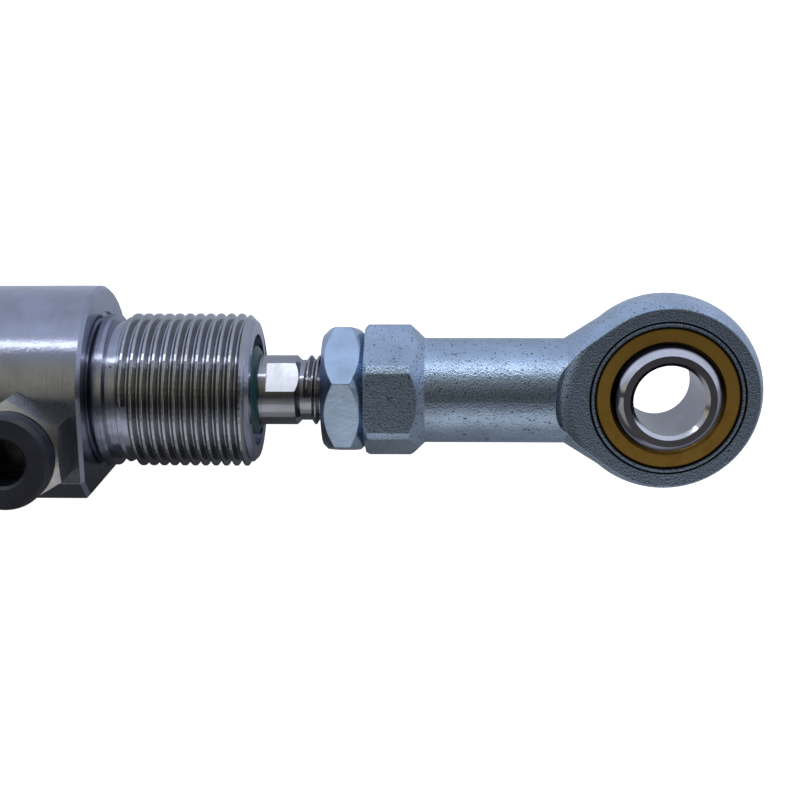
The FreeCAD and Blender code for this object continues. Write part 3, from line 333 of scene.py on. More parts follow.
def make_finish(name, clean, stained, metallic, roughness, roughness_change, stain_size, stain_amount,
                grain_size=None, grain_depth=0.1, coarse_share=0.3, line_stretch=None, line_depth=0.1,
                spark_gloss=0.0, pit_colour=None, pit_level=0.0, edge_radius=0.0):
    """A material with stains and, where asked for, soft edges, grain and tool lines in its bump."""
    material = bpy.data.materials.new(name)
    material.use_nodes = True
    tree = material.node_tree
    shader = tree.nodes["Principled BSDF"]
    shader.inputs["Metallic"].default_value = metallic
    place = add_node(tree, "ShaderNodeTexCoord", (-1300, 0))
    position = place.outputs["Object"]
    cloud = place_group(tree, stains, (-900, 300), position, Clean=hex_colour(clean),
                        Stained=hex_colour(stained), Size=stain_size, Amount=stain_amount,
                        Roughness=roughness, Roughness_change=roughness_change)
    connect(tree, (cloud.outputs["Colour"], shader.inputs["Base Color"]))
    rough = cloud.outputs["Roughness"]
    normal = None
    if edge_radius:
        soft_edge = add_node(tree, "ShaderNodeBevel", (-800, -700))
        soft_edge.inputs["Radius"].default_value = edge_radius
        normal = soft_edge.outputs["Normal"]
    if grain_size:
        speck = place_group(tree, grain, (-900, -200), position, Size=grain_size,
                            Coarse_share=coarse_share, Pit_level=pit_level)
        bump = add_node(tree, "ShaderNodeBump", (-500, -200))
        bump.inputs["Strength"].default_value = grain_depth
        bump.inputs["Distance"].default_value = GRAIN_HEIGHT
        connect(tree, (speck.outputs["Height"], bump.inputs["Height"]))
        if normal:
            connect(tree, (normal, bump.inputs["Normal"]))
        normal = bump.outputs["Normal"]
        if pit_colour:
            pitted = add_node(tree, "ShaderNodeMix", (-250, 500), data_type="RGBA")
            pitted.inputs["B"].default_value = hex_colour(pit_colour)
            connect(tree,
                    (speck.outputs["Pits"], pitted.inputs["Factor"]),
                    (cloud.outputs["Colour"], pitted.inputs["A"]),
                    (pitted.outputs["Result"], shader.inputs["Base Color"]))
        if spark_gloss:
            sharper = add_node(tree, "ShaderNodeMath", (-500, 100), operation="MULTIPLY_ADD")
            sharper.inputs[1].default_value = -spark_gloss
            connect(tree, (speck.outputs["Sparks"], sharper.inputs[0]), (rough, sharper.inputs[2]))
            rough = sharper.outputs[0]
    if line_stretch:
        rings = place_group(tree, tool_lines, (-900, -500), position, Stretch=line_stretch)
        groove = add_node(tree, "ShaderNodeBump", (-250, -400))
        groove.inputs["Strength"].default_value = line_depth
        groove.inputs["Distance"].default_value = GROOVE_HEIGHT
        connect(tree, (rings.outputs["Height"], groove.inputs["Height"]))
        if normal:
            connect(tree, (normal, groove.inputs["Normal"]))
        normal = groove.outputs["Normal"]
    connect(tree, (rough, shader.inputs["Roughness"]))
    if normal:
        connect(tree, (normal, shader.inputs["Normal"]))
    return material


# %% [markdown]
# Two helpers darken a finish that is made already: one paints shade on the ball where it enters its race,
# and one draws a dark joint of dirt. They take the colour that goes into the shader, mix it with a dark
# colour, and connect the result in its place.

# %% Helpers for painted shade and dirt
def shade_ball_where_it_enters_race(material, dark_until, clean_from, bore_edge, colour):
    """Darkens a ball with a vertical bore close to its equator, where it enters its race: painted shade
    and grease.
    """
    tree = material.node_tree
    shader = tree.nodes["Principled BSDF"]
    clean = shader.inputs["Base Color"].links[0].from_socket
    place = add_node(tree, "ShaderNodeTexCoord", (-1100, 1000))
    parts = add_node(tree, "ShaderNodeSeparateXYZ", (-700, 900))
    height = add_node(tree, "ShaderNodeMath", (-500, 900), operation="ABSOLUTE")
    shade_band = add_node(tree, "ShaderNodeMapRange", (-300, 900), interpolation_type="SMOOTHSTEP")
    shade_band.inputs["From Min"].default_value = dark_until
    shade_band.inputs["From Max"].default_value = clean_from
    in_bore = add_node(tree, "ShaderNodeMath", (-300, 1150), operation="LESS_THAN")
    in_bore.inputs[1].default_value = bore_edge
    spared = add_node(tree, "ShaderNodeMath", (-100, 1000), operation="MAXIMUM")
    both = add_node(tree, "ShaderNodeMix", (-100, 700), data_type="RGBA")
    both.inputs["A"].default_value = hex_colour(colour)
    connect(tree,
            (place.outputs["Object"], parts.inputs["Vector"]),
            (distance_from_eye_axis(tree, place.outputs["Object"], (-700, 1150)), in_bore.inputs[0]),
            (parts.outputs["Z"], height.inputs[0]),
            (height.outputs[0], shade_band.inputs["Value"]),
            (shade_band.outputs["Result"], spared.inputs[0]),
            (in_bore.outputs[0], spared.inputs[1]),
            (spared.outputs[0], both.inputs["Factor"]),
            (clean, both.inputs["B"]),
            (both.outputs["Result"], shader.inputs["Base Color"]))


def draw_joint(material, radius, half_width, colour, row):
    """A dark joint round the axis of the eye. Row is the height of its nodes in the graph."""
    tree = material.node_tree
    shader = tree.nodes["Principled BSDF"]
    clean = shader.inputs["Base Color"].links[0].from_socket
    place = add_node(tree, "ShaderNodeTexCoord", (-600, row))
    ring = place_group(tree, grime, (-300, row), place.outputs["Object"], Grime=hex_colour(colour),
                       Radius=radius, Half_width=half_width)
    connect(tree, (clean, ring.inputs["Clean"]), (ring.outputs["Colour"], shader.inputs["Base Color"]))


# %% [markdown]
# The metals. Bare aluminium is turned and a little bluish, and greyer on the thread. The rod is ground
# and hard chromed, the nut has a bright bluish zinc, and the rod eye has the same zinc over a blasted
# forging. Brass and chrome in the bearing differ mostly in colour and gloss. A colour is written as in a
# paint program, first clean and then stained.

# %% Metal finishes
AROUND_X = (4000.0, 30.0, 30.0)
AROUND_Z = (30.0, 30.0, 4000.0)
ALONG_X = (60.0, 3000.0, 3000.0)

aluminium = make_finish("Turned aluminium", "8c90a1", "7a7c85", metallic=1.0, roughness=0.16,
                        roughness_change=0.1, stain_size=260.0, stain_amount=0.6, grain_size=2200.0,
                        grain_depth=0.12, coarse_share=0.5, line_stretch=AROUND_X, line_depth=0.25,
                        pit_colour="24211e", pit_level=0.33, edge_radius=0.12 * MM)
thread_aluminium = make_finish("Aluminium of the nose thread", "96989e", "807e7d", metallic=1.0,
                               roughness=0.17, roughness_change=0.1, stain_size=260.0, stain_amount=0.6,
                               line_stretch=AROUND_X, line_depth=0.15)
chrome = make_finish("Ground chrome", "8e8f96", "7b7c80", metallic=1.0, roughness=0.12,
                     roughness_change=0.15, stain_size=300.0, stain_amount=0.5, line_stretch=AROUND_X,
                     line_depth=0.12)
bright_zinc = make_finish("Bright zinc", "9fb0c6", "7d8a98", metallic=1.0, roughness=0.2,
                          roughness_change=0.15, stain_size=300.0, stain_amount=0.5, grain_size=1600.0,
                          grain_depth=0.12, pit_colour="4a525c", pit_level=0.34, edge_radius=0.25 * MM)
blasted_zinc = make_finish("Zinc on a blasted forging", "9bacc2", "7d8998", metallic=1.0, roughness=0.3,
                           roughness_change=0.1, stain_size=180.0, stain_amount=0.5, grain_size=3600.0,
                           grain_depth=0.42, coarse_share=0.25, spark_gloss=0.12, pit_colour="303843",
                           pit_level=0.415, edge_radius=0.3 * MM)
race_brass = make_finish("Race brass", "cda24f", "8f6b34", metallic=1.0, roughness=0.3,
                         roughness_change=0.12, stain_size=300.0, stain_amount=0.75,
                         line_stretch=AROUND_Z, line_depth=0.2)
ball_chrome = make_finish("Polished ball", "b4b3bb", "8d8a86", metallic=1.0, roughness=0.1,
                          roughness_change=0.08, stain_size=300.0, stain_amount=0.4,
                          line_stretch=AROUND_Z, line_depth=0.05)
nickel = make_finish("Nickel on brass", "a5a4a3", "77746d", metallic=1.0, roughness=0.25,
                     roughness_change=0.15, stain_size=400.0, stain_amount=0.5, grain_size=1500.0,
                     grain_depth=0.1)
drawn_steel = make_finish("Drawn stainless tube", "9b9c9e", "7f8084", metallic=1.0, roughness=0.24,
                          roughness_change=0.12, stain_size=120.0, stain_amount=0.5, line_stretch=ALONG_X,
                          line_depth=0.08)
bronze = make_finish("Sintered bronze", "8a6a40", "5c452a", metallic=1.0, roughness=0.45,
                     roughness_change=0.1, stain_size=500.0, stain_amount=0.5, grain_size=4000.0,
                     grain_depth=0.3)
spring_steel = make_finish("Spring steel", "8d8f92", "6b6d70", metallic=1.0, roughness=0.28,
                           roughness_change=0.1, stain_size=500.0, stain_amount=0.5,
                           line_stretch=AROUND_Z, line_depth=0.1)
dark_magnet = make_finish("Sintered magnet", "3a3a3c", "2a2a2c", metallic=0.7, roughness=0.5,
                          roughness_change=0.1, stain_size=300.0, stain_amount=0.5, grain_size=3000.0,
                          grain_depth=0.2)
print("metals:", len(bpy.data.materials))

# %% [markdown]
# The bearing. Close to its equator, where it runs in its race, the ball is darker: painted shade of the
# race, with grease. It stays clean at its faces and in its bore. Dark lines of dirt follow the joint
# between race and head and the groove that was pressed round it to stake the race.

# %% Painted shade on the ball and dirt round the bearing
RACE_JOINT = 10.05 * MM
STAKE_GROOVE = 10.8 * MM
# The dark band on the ball where it enters its race is painted shade, with grease.
shade_ball_where_it_enters_race(ball_chrome, dark_until=5.9 * MM, clean_from=6.3 * MM, bore_edge=5.4 * MM,
                   colour="0e0e12")
for worn in (race_brass, blasted_zinc):
    draw_joint(worn, RACE_JOINT, half_width=0.32 * MM, colour="17150f", row=1500)
draw_joint(blasted_zinc, STAKE_GROOVE, half_width=0.3 * MM, colour="2a2f36", row=1800)
print("joints at:", RACE_JOINT, STAKE_GROOVE)

# %% [markdown]
# The soft and plastic pieces. Polyurethane and rubber aren't metals: Metallic is 0 and the colour comes
# from the body of the material. A faint grain keeps them from looking like wet paint.

# %% Rubber and plastic finishes
green_seal = make_finish("Green polyurethane", "0b454a", "062b2e", metallic=0.0, roughness=0.35,
                         roughness_change=0.15, stain_size=400.0, stain_amount=0.6, grain_size=3000.0,
                         grain_depth=0.12)
black_rubber = make_finish("Black rubber", "1b1b1c", "28282a", metallic=0.0, roughness=0.5,
                           roughness_change=0.15, stain_size=400.0, stain_amount=0.6, grain_size=3000.0,
                           grain_depth=0.2)
cushion = make_finish("Cushion polyurethane", "8a6a3c", "6b512d", metallic=0.0, roughness=0.45,
                      roughness_change=0.1, stain_size=300.0, stain_amount=0.6, grain_size=3000.0,
                      grain_depth=0.2)
dark_plastic = make_finish("Dark plastic", "090c1c", "12162a", metallic=0.0, roughness=0.4,
                           roughness_change=0.2, stain_size=500.0, stain_amount=0.6, grain_size=3500.0,
                           grain_depth=0.25)
guide_plastic = make_finish("Guide plastic", "5a4a35", "463a2b", metallic=0.0, roughness=0.5,
                            roughness_change=0.1, stain_size=300.0, stain_amount=0.5, grain_size=3500.0,
                            grain_depth=0.2)
# The liner's dark colour is partly its own and partly painted shade of the narrow gap between race and
# ball.
liner = make_finish("Bearing liner", "2c2a28", "1c1a19", metallic=0.0, roughness=0.55,
                    roughness_change=0.1, stain_size=400.0, stain_amount=0.6, grain_size=5000.0,
                    grain_depth=0.3)
print("materials:", len(bpy.data.materials))

# %% [markdown]
# Each solid takes its finish from the material slot that the record gives it, so all pieces of one
# material share one finish.

# %% Give every solid its finish
FINISH_OF_SLOT = {
    "cap_aluminium": aluminium,
    "piston_aluminium": aluminium,
    "stainless_tube": drawn_steel,
    "bushing_bronze": bronze,
    "green_polyurethane": green_seal,
    "black_rubber": black_rubber,
    "cushion_polyurethane": cushion,
    "nickel_plated_brass": nickel,
    "spring_steel": spring_steel,
    "dark_plastic": dark_plastic,
    "guide_plastic": guide_plastic,
    "polished_rod": chrome,
    "magnet": dark_magnet,
    "zinc_steel": bright_zinc,
    "forged_zinc_steel": blasted_zinc,
    "race_brass": race_brass,
    "liner_plastic": liner,
    "polished_ball": ball_chrome,
}


def give_finish(piece, material):
    """Makes a material the only one of a piece."""
    piece.data.materials.clear()
    piece.data.materials.append(material)


slot_of_node = {part["node"]: part["material_slot"] for part in frame["record"]["subparts"]}
for name, piece in nodes.items():
    give_finish(piece, FINISH_OF_SLOT[slot_of_node[name]])
print("finished:", len(slot_of_node), "of", len(nodes))

# %% [markdown]
# Threads. The solids carry their threads as plain cylinders at the crest, which is right for fitting
# but not for looking at. On screen a thread is a ridge that winds round the axis like a spring.
#
# The spin operator can make it: it sweeps a profile round an axis, and with dvec it also moves the
# profile along the axis at each step. One turn moves by one pitch. Profile and end caps are closed, so
# the ridge is a solid of its own. It stands on a core that is the CAD piece copied and lowered to the
# root of the thread.

# %% Helpers for a mesh and for a thread ridge
SAME_POINT = 1e-7
WORN_CREST = 0.07 * MM
SUNK_BELOW_ROOT = 0.1 * MM
RUN_IN_TURNS = 1 / 3


def finish_mesh(name, mesh):
    """Turns a bmesh into an object in the scene."""
    data = bpy.data.meshes.new(name)
    mesh.to_mesh(data)
    mesh.free()
    piece = bpy.data.objects.new(name, data)
    bpy.context.scene.collection.objects.link(piece)
    print(name, "faces:", len(data.polygons))
    return piece


def set_radius(vert, radius):
    """Moves a point straight towards the X axis or away from it."""
    scale = radius / math.hypot(vert.co.y, vert.co.z)
    vert.co.y *= scale
    vert.co.z *= scale


def thread_ridge(name, first, last, pitch, crest, root, crest_flat, root_flat, full_from, full_to,
                 steps_per_turn):
    """A right-hand ridge round X from the station first to last. It has its full height from full_from
    to full_to and is chamfered at 45 degrees outside them."""
    half_root = (pitch - root_flat) / 2
    half_crest = crest_flat / 2
    sunk = root - SUNK_BELOW_ROOT
    profile = [(-half_root, sunk), (-half_root, root), (-half_crest, crest - WORN_CREST),
               (WORN_CREST - half_crest, crest), (half_crest - WORN_CREST, crest),
               (half_crest, crest - WORN_CREST), (half_root, root), (half_root, sunk)]
    ridge = bmesh.new()
    face = ridge.faces.new([ridge.verts.new((first + along, 0.0, radius)) for along, radius in profile])
    turns = (last - first) / pitch
    steps = round(turns * steps_per_turn)
    bmesh.ops.spin(ridge, geom=[face, *face.edges, *face.verts], cent=(0, 0, 0), axis=(-1, 0, 0),
                   dvec=((last - first) / steps, 0, 0), angle=turns * math.tau, steps=steps,
                   use_duplicate=False)
    for vert in ridge.verts:
        run_in = (vert.co.x - first + half_root) / (pitch * RUN_IN_TURNS)
        faded = sunk + (crest - sunk) * min(1.0, max(0.0, run_in))
        chamfered = crest - max(full_from - vert.co.x, vert.co.x - full_to, 0.0)
        allowed = min(chamfered, faded)
        if math.hypot(vert.co.y, vert.co.z) > allowed:
            set_radius(vert, allowed)
    bmesh.ops.remove_doubles(ridge, verts=ridge.verts, dist=SAME_POINT)
    bmesh.ops.recalc_face_normals(ridge, faces=ridge.faces)
    return finish_mesh(name, ridge)


# %% [markdown]
# A core for each thread. The CAD solid is copied, its loose triangles are merged, and the ring of
# points at the thread's crest is moved in to its root. The copy then stands for the solid, and the
# ridge winds round it. The solid's stored normals belong to the loose triangles, so the copy drops them
# and is shaded smooth between edges of its own.

# %% Helper for a lowered core
LOOSE_POINT = 1e-6
ON_CREST = 0.02 * MM
AT_STATION = 0.01 * MM
BELOW_ROOT = 0.5 * MM
CORE_EDGE_ANGLE = 10


def shade_smooth(piece, edge_angle):
    """Smooth shading, apart from edges that turn by more than an angle in degrees."""
    for polygon in piece.data.polygons:
        polygon.use_smooth = True
    piece.data.set_sharp_from_angle(angle=math.radians(edge_angle))


def core_copy(node_name, name, full_from, full_to, crest, root, moved_edge=None):
    """A copy of a CAD piece whose crest cylinder round X is lowered to the root of its thread. A moved
    edge is a pair of stations: a ring of points just below the root goes from the first to the second."""
    mesh = bmesh.new()
    mesh.from_mesh(nodes[node_name].data)
    bmesh.ops.remove_doubles(mesh, verts=mesh.verts, dist=LOOSE_POINT)
    for vert in mesh.verts:
        on_crest = abs(math.hypot(vert.co.y, vert.co.z) - crest) < ON_CREST
        if on_crest and full_from - AT_STATION < vert.co.x < full_to + AT_STATION:
            set_radius(vert, root)
    for vert in mesh.verts:
        below_root = root - BELOW_ROOT < math.hypot(vert.co.y, vert.co.z) < root
        if moved_edge and below_root and abs(vert.co.x - moved_edge[0]) < AT_STATION:
            vert.co.x = moved_edge[1]
    core = finish_mesh(name, mesh)
    stored_normals = core.data.attributes.get("custom_normal")
    if stored_normals is not None:
        core.data.attributes.remove(stored_normals)
    shade_smooth(core, CORE_EDGE_ANGLE)
    return core


# %% [markdown]
# The mounting nose is an M22 x 1.5 thread: 22 mm over its crests, one turn every 1.5 mm. It starts in
# the undercut behind it and is chamfered at its front. The undercut's front edge moves up to the start of
# the ridge, so that the core has the width of the real neck.

# %% Nose thread
NOSE_CREST = 11.0 * MM
NOSE_ROOT = 10.15 * MM
NOSE_FULL_FROM = 4.2 * MM
NOSE_FULL_TO = NOSE_FRONT - 1.2 * MM
UNDERCUT_FRONT = 3.1 * MM
RIDGE_OVERLAP = 0.05 * MM

cap_core = core_copy("front_cap", "front_cap_core", NOSE_FULL_FROM, NOSE_FULL_TO, NOSE_CREST, NOSE_ROOT,
                     moved_edge=(UNDERCUT_FRONT, NOSE_FULL_FROM - RIDGE_OVERLAP))
nose_ridge = thread_ridge("nose_thread", first=4.3 * MM, last=NOSE_FRONT - 0.5 * MM, pitch=1.5 * MM,
                          crest=NOSE_CREST, root=NOSE_ROOT, crest_flat=0.42 * MM, root_flat=0.18 * MM,
                          full_from=NOSE_FULL_FROM, full_to=NOSE_FULL_TO, steps_per_turn=72)
give_finish(cap_core, aluminium)
give_finish(nose_ridge, thread_aluminium)
for piece in (cap_core, nose_ridge):
    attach(piece, "cylinder")
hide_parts("front_cap")

# %% [markdown]
# The rod carries an M10 x 1.25 thread. Only its first turns show, between the rod and the jam nut, but
# the whole thread is made, because the rod eye could be taken off.

# %% Rod thread
ROD_CREST = 5.0 * MM
ROD_ROOT = 4.35 * MM
ROD_FULL_FROM = 29.45 * MM
ROD_FULL_TO = ROD_TIP - 0.8 * MM

rod_core = core_copy("piston_rod", "piston_rod_core", ROD_FULL_FROM, ROD_FULL_TO, ROD_CREST, ROD_ROOT)
rod_ridge = thread_ridge("rod_thread", first=29.4 * MM, last=ROD_TIP - 0.4 * MM, pitch=1.25 * MM,
                         crest=ROD_CREST, root=ROD_ROOT, crest_flat=0.35 * MM, root_flat=0.15 * MM,
                         full_from=ROD_FULL_FROM, full_to=ROD_FULL_TO, steps_per_turn=48)
for piece in (rod_core, rod_ridge):
    give_finish(piece, chrome)
    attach(piece, "rod")
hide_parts("piston_rod")

# %% [markdown]
# The wiper's lip. The seal itself sits in the nose, and a thin lip of it stands out round the rod and
# keeps dirt away. It is a small turned profile of closed edges, spun once round the axis.

# %% Wiper lip
LIP_BACK = NOSE_FRONT - 0.8 * MM
LIP_FRONT = NOSE_FRONT + 0.5 * MM
LIP_BORE = 5.04 * MM
LIP_OUTSIDE = 6.4 * MM
LIP_PROFILE = ((LIP_BACK, LIP_BORE), (LIP_FRONT - 0.15 * MM, LIP_BORE), (LIP_FRONT, 5.2 * MM),
               (LIP_FRONT - 0.1 * MM, 5.6 * MM), (LIP_FRONT - 0.5 * MM, 6.2 * MM),
               (LIP_FRONT - 0.8 * MM, LIP_OUTSIDE), (LIP_BACK, LIP_OUTSIDE))
LIP_STEPS = 96
LIP_EDGE_ANGLE = 35

lip_mesh = bmesh.new()
lip_points = [lip_mesh.verts.new((x, 0.0, radius)) for x, radius in LIP_PROFILE]
lip_edges = [lip_mesh.edges.new(pair) for pair in zip(lip_points, lip_points[1:] + lip_points[:1])]
bmesh.ops.spin(lip_mesh, geom=[*lip_points, *lip_edges], cent=(0, 0, 0), axis=(1, 0, 0),
               angle=math.tau, steps=LIP_STEPS, use_merge=True, use_duplicate=False)
bmesh.ops.recalc_face_normals(lip_mesh, faces=lip_mesh.faces)
lip = finish_mesh("wiper_lip", lip_mesh)
shade_smooth(lip, LIP_EDGE_ANGLE)
give_finish(lip, green_seal)
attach(lip, "cylinder")

# %% [markdown]
# The floor and the room are mixed from a few tones. Three small helpers keep their graphs short: a soft
# step, a mix of two colours, and the larger of two values.

# %% Helpers for soft mixes
WHITE = (1.0, 1.0, 1.0, 1.0)
BLACK = (0.0, 0.0, 0.0, 1.0)


def soft_step(tree, source, span, place):
    """A value that rises smoothly from 0 to 1 while the source goes through a span."""
    step = add_node(tree, "ShaderNodeMapRange", place, interpolation_type="SMOOTHSTEP")
    step.inputs["From Min"].default_value = span[0]
    step.inputs["From Max"].default_value = span[1]
    connect(tree, (source, step.inputs["Value"]))
    return step.outputs["Result"]


def mix_colours(tree, factor, first, second, place):
    """A mix of two colours. Either may be a plain colour or the socket that gives one."""
    mix = add_node(tree, "ShaderNodeMix", place, data_type="RGBA")
    connect(tree, (factor, mix.inputs["Factor"]))
    for label, colour in (("A", first), ("B", second)):
        if isinstance(colour, tuple):
            mix.inputs[label].default_value = colour
        else:
            connect(tree, (colour, mix.inputs[label]))
    return mix.outputs["Result"]


def larger_of(tree, first, second, place):
    """The larger of two values."""
    node = add_node(tree, "ShaderNodeMath", place, operation="MAXIMUM")
    connect(tree, (first, node.inputs[0]), (second, node.inputs[1]))
    return node.outputs[0]


# %% [markdown]
# The floor is plain and pale. Light Path makes it glow for the camera, so that the ground is white in
# the picture. The metal reflects the floor as the lamps light it. In these reflections the floor also
# glows on its far side, with a little blue, and on the near side of the cap its own colour is dark, as in
# shade, which gives the lower rims their dark line.

# %% Floor
FLOOR_HALF = 3.0
FLOOR_GAP = 0.05 * MM
FLOOR_ROUGHNESS = 0.9
FLOOR_SPECULAR = 0.1
FAR_GLOW = (0.42, 0.47, 0.58, 1.0)
FAR_GLOW_SPAN = (-10.0 * MM, 30.0 * MM)
IN_SHADE = (0.12, 0.12, 0.13, 1.0)
PALE = (0.76, 0.8, 0.88, 1.0)
SHADE_ENDS_ALONG = (0.0, 70.0 * MM)
SHADE_ENDS_ACROSS = (-25.0 * MM, 10.0 * MM)


def make_pale_floor():
    """White for the camera, pale under the lamps, and glowing on its far side for reflections."""
    pale = bpy.data.materials.new("Pale floor")
    pale.use_nodes = True
    tree = pale.node_tree
    ground = tree.nodes["Principled BSDF"]
    ground.inputs["Roughness"].default_value = FLOOR_ROUGHNESS
    ground.inputs["Specular IOR Level"].default_value = FLOOR_SPECULAR
    place = add_node(tree, "ShaderNodeTexCoord", (-1300, 400))
    parts = add_node(tree, "ShaderNodeSeparateXYZ", (-1100, 600))
    path = add_node(tree, "ShaderNodeLightPath", (-900, -100))
    connect(tree, (place.outputs["Object"], parts.inputs["Vector"]))
    far_side = soft_step(tree, parts.outputs["Y"], FAR_GLOW_SPAN, (-900, 600))
    along = soft_step(tree, parts.outputs["X"], SHADE_ENDS_ALONG, (-1100, 300))
    across = soft_step(tree, parts.outputs["Y"], SHADE_ENDS_ACROSS, (-1100, 50))
    glow = mix_colours(tree, far_side, BLACK, FAR_GLOW, (-650, 600))
    out_of_shade = larger_of(tree, along, across, (-900, 300))
    direct = larger_of(tree, path.outputs["Is Camera Ray"], path.outputs["Is Transmission Ray"], (-650, 0))
    strength = larger_of(tree, direct, path.outputs["Is Glossy Ray"], (-350, -100))
    connect(tree,
            (mix_colours(tree, out_of_shade, IN_SHADE, PALE, (-650, 300)), ground.inputs["Base Color"]),
            (mix_colours(tree, direct, glow, WHITE, (-350, 200)), ground.inputs["Emission Color"]),
            (strength, ground.inputs["Emission Strength"]))
    return pale


floor_mesh = bmesh.new()
bmesh.ops.create_grid(floor_mesh, x_segments=1, y_segments=1, size=FLOOR_HALF)
floor_height = cad_box[0][2] - FLOOR_GAP
bmesh.ops.translate(floor_mesh, vec=(0, 0, floor_height), verts=floor_mesh.verts)
floor = finish_mesh("floor", floor_mesh)
give_finish(floor, make_pale_floor())

# %% [markdown]
# The room. Metal shows what stands round it, so the world matters more than the lamps. Seen along the
# cylinder, the room is a ring of tones: a bright wall on the far side, a dark ceiling, and a duller wall
# on the near side. The angle round the X axis picks the tone from a colour ramp, in degrees from
# straight up, with the far side positive.
#
# There are two rings. One belongs to the side of the rod eye. The other belongs to the side of the
# cylinder, where a warm brown shape takes the place of the dark ceiling. The direction's X picks between
# them. Where the camera looks past the edge of the floor, it sees plain white instead.

# %% World
FAR_WALL = ((50.0, 0.50, 0.53, 0.57), (62.0, 0.80, 0.88, 1.00), (78.0, 1.00, 1.12, 1.35),
            (95.0, 0.95, 1.05, 1.30))
NEAR_WALL = ((-100.0, 0.40, 0.40, 0.40), (-80.0, 0.48, 0.48, 0.49), (-55.0, 0.56, 0.56, 0.57),
             (-40.0, 0.52, 0.52, 0.53), (-28.0, 0.38, 0.38, 0.38))
DARK_CEILING = ((-20.0, 0.15, 0.15, 0.15), (-13.0, 0.07, 0.07, 0.075), (0.0, 0.06, 0.06, 0.06),
                (12.0, 0.085, 0.085, 0.085), (24.0, 0.19, 0.19, 0.19), (37.0, 0.30, 0.30, 0.31))
WARM_CEILING = ((-13.0, 0.10, 0.10, 0.10), (0.0, 0.22, 0.21, 0.17), (8.0, 0.42, 0.39, 0.30),
                (22.0, 0.68, 0.63, 0.46), (40.0, 0.62, 0.62, 0.52))
RINGS_MEET = (-0.19, -0.1)
HALF_TURN = 180.0


def tone_ring(tree, tones, location):
    """A colour ramp with one stop for each tone: degrees from straight up, then red, green and blue."""
    ramp = add_node(tree, "ShaderNodeValToRGB", location)
    stops = ramp.color_ramp.elements
    for degrees, *colour in tones:
        stop = stops.new((degrees / HALF_TURN + 1.0) / 2.0)
        stop.color = (*colour, 1.0)
    # The two stops that every ramp begins with are its ends. Each repeats the tone beside it.
    stops[0].color = stops[1].color
    stops[len(stops) - 1].color = stops[len(stops) - 2].color
    return ramp


def make_room():
    """Two rings of tones round the X axis, mixed by the direction along it."""
    room = bpy.data.worlds.new("Room")
    room.use_nodes = True
    tree = room.node_tree
    background = tree.nodes["Background"]
    background.location = (300, 100)
    direction = add_node(tree, "ShaderNodeTexCoord", (-1300, 0))
    parts = add_node(tree, "ShaderNodeSeparateXYZ", (-1100, 0))
    angle = add_node(tree, "ShaderNodeMath", (-900, 100), operation="ARCTAN2")
    turned = add_node(tree, "ShaderNodeMapRange", (-700, 100))
    turned.inputs["From Min"].default_value = -math.pi
    turned.inputs["From Max"].default_value = math.pi
    eye_side = tone_ring(tree, NEAR_WALL + DARK_CEILING + FAR_WALL, (-450, 250))
    barrel_side = tone_ring(tree, NEAR_WALL + WARM_CEILING + FAR_WALL, (-450, -50))
    path = add_node(tree, "ShaderNodeLightPath", (-150, 350))
    connect(tree,
            (direction.outputs["Generated"], parts.inputs["Vector"]),
            (parts.outputs["Y"], angle.inputs[0]),
            (parts.outputs["Z"], angle.inputs[1]),
            (angle.outputs["Value"], turned.inputs["Value"]),
            (turned.outputs["Result"], eye_side.inputs["Fac"]),
            (turned.outputs["Result"], barrel_side.inputs["Fac"]))
    along = soft_step(tree, parts.outputs["X"], RINGS_MEET, (-450, -300))
    both = mix_colours(tree, along, barrel_side.outputs["Color"], eye_side.outputs["Color"], (-150, 0))
    seen = mix_colours(tree, path.outputs["Is Camera Ray"], both, WHITE, (100, 100))
    connect(tree, (seen, background.inputs["Color"]))
    return room


bpy.context.scene.world = make_room()
print("world:", bpy.context.scene.world.name)

# %% [markdown]
# Two soft lamps. A long, narrow one over the top side draws the white line along every round part, and
# a broad one on the other side lifts the lower flank.

# %% Lamps
LAMP_CENTRE = Vector((45.0 * MM, 0.0, 0.0))
LAMP_DISTANCE = 0.8


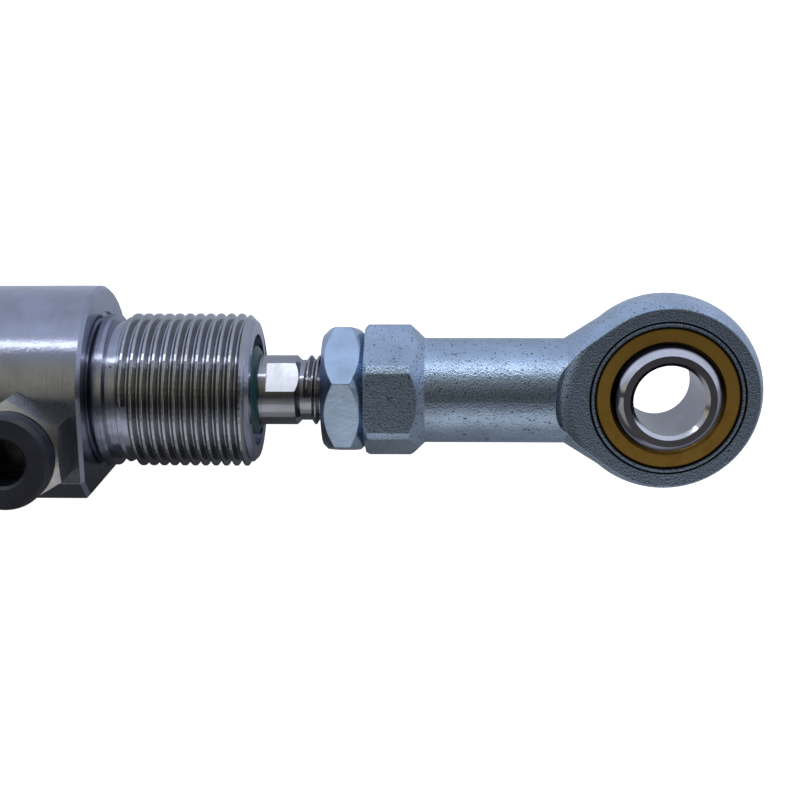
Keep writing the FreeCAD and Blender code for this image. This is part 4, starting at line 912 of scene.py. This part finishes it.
def soft_lamp(name, tilt, long_side, short_side, brightness, colour):
    """A rectangular lamp that lies along X and looks at the object. Tilt is in degrees from +Z to +Y,
    and brightness is the same for a lamp of any size."""
    data = bpy.data.lights.new(name, "AREA")
    data.shape = "RECTANGLE"
    data.size = long_side
    data.size_y = short_side
    data.energy = brightness * math.pi * long_side * short_side
    data.color = colour
    lamp = bpy.data.objects.new(name, data)
    bpy.context.scene.collection.objects.link(lamp)
    turn = Matrix.Rotation(-math.radians(tilt), 4, "X")
    away = turn @ Vector((0, 0, LAMP_DISTANCE))
    lamp.matrix_world = Matrix.Translation(LAMP_CENTRE + away) @ turn
    print(name, "at", [round(v, 2) for v in lamp.location])


soft_lamp("strip_lamp", tilt=62.0, long_side=1.6, short_side=0.09, brightness=4.5,
          colour=(0.95, 0.98, 1.0))
soft_lamp("fill_lamp", tilt=-52.0, long_side=1.4, short_side=0.42, brightness=0.45,
          colour=(0.92, 0.95, 1.0))

# %% [markdown]
# The camera looks straight down on the cylinder from close by, a little from above its axis. Its tilt,
# its turn and its distance were worked out from things of known size in the photograph: the nose's
# rings, the head of the rod eye and the two rims of the ball's bore. The angles are in radians, and the
# sensor is in millimetres.

# %% Camera
CAMERA_TILT = 0.2398
CAMERA_TURN = 0.0347
CAMERA_ROLL = 0.0025
CAMERA_DISTANCE = 188.24 * MM
AIM_ALONG = 42.47 * MM
AIM_UP = -1.45 * MM
SENSOR = 36.0
FOCAL_PIXELS = 1307.8
FRAME_PIXELS = 800
CLIP_START = 0.01

camera_data = bpy.data.cameras.new("camera")
camera_data.sensor_width = SENSOR
camera_data.lens = FOCAL_PIXELS / FRAME_PIXELS * SENSOR
camera_data.clip_start = CLIP_START
camera = bpy.data.objects.new("camera", camera_data)
bpy.context.scene.collection.objects.link(camera)
lean = Matrix.Rotation(-CAMERA_TILT, 4, "X")
pose = lean @ Matrix.Rotation(CAMERA_TURN, 4, "Y") @ Matrix.Rotation(CAMERA_ROLL, 4, "Z")
aim = Vector((AIM_ALONG, 0, 0)) + lean @ Vector((0, AIM_UP, 0))
back = pose @ Vector((0, 0, CAMERA_DISTANCE))
camera.matrix_world = Matrix.Translation(aim + back) @ pose
bpy.context.scene.camera = camera
bpy.context.scene.view_settings.view_transform = "Standard"
print("camera at", [round(v, 4) for v in camera.location])
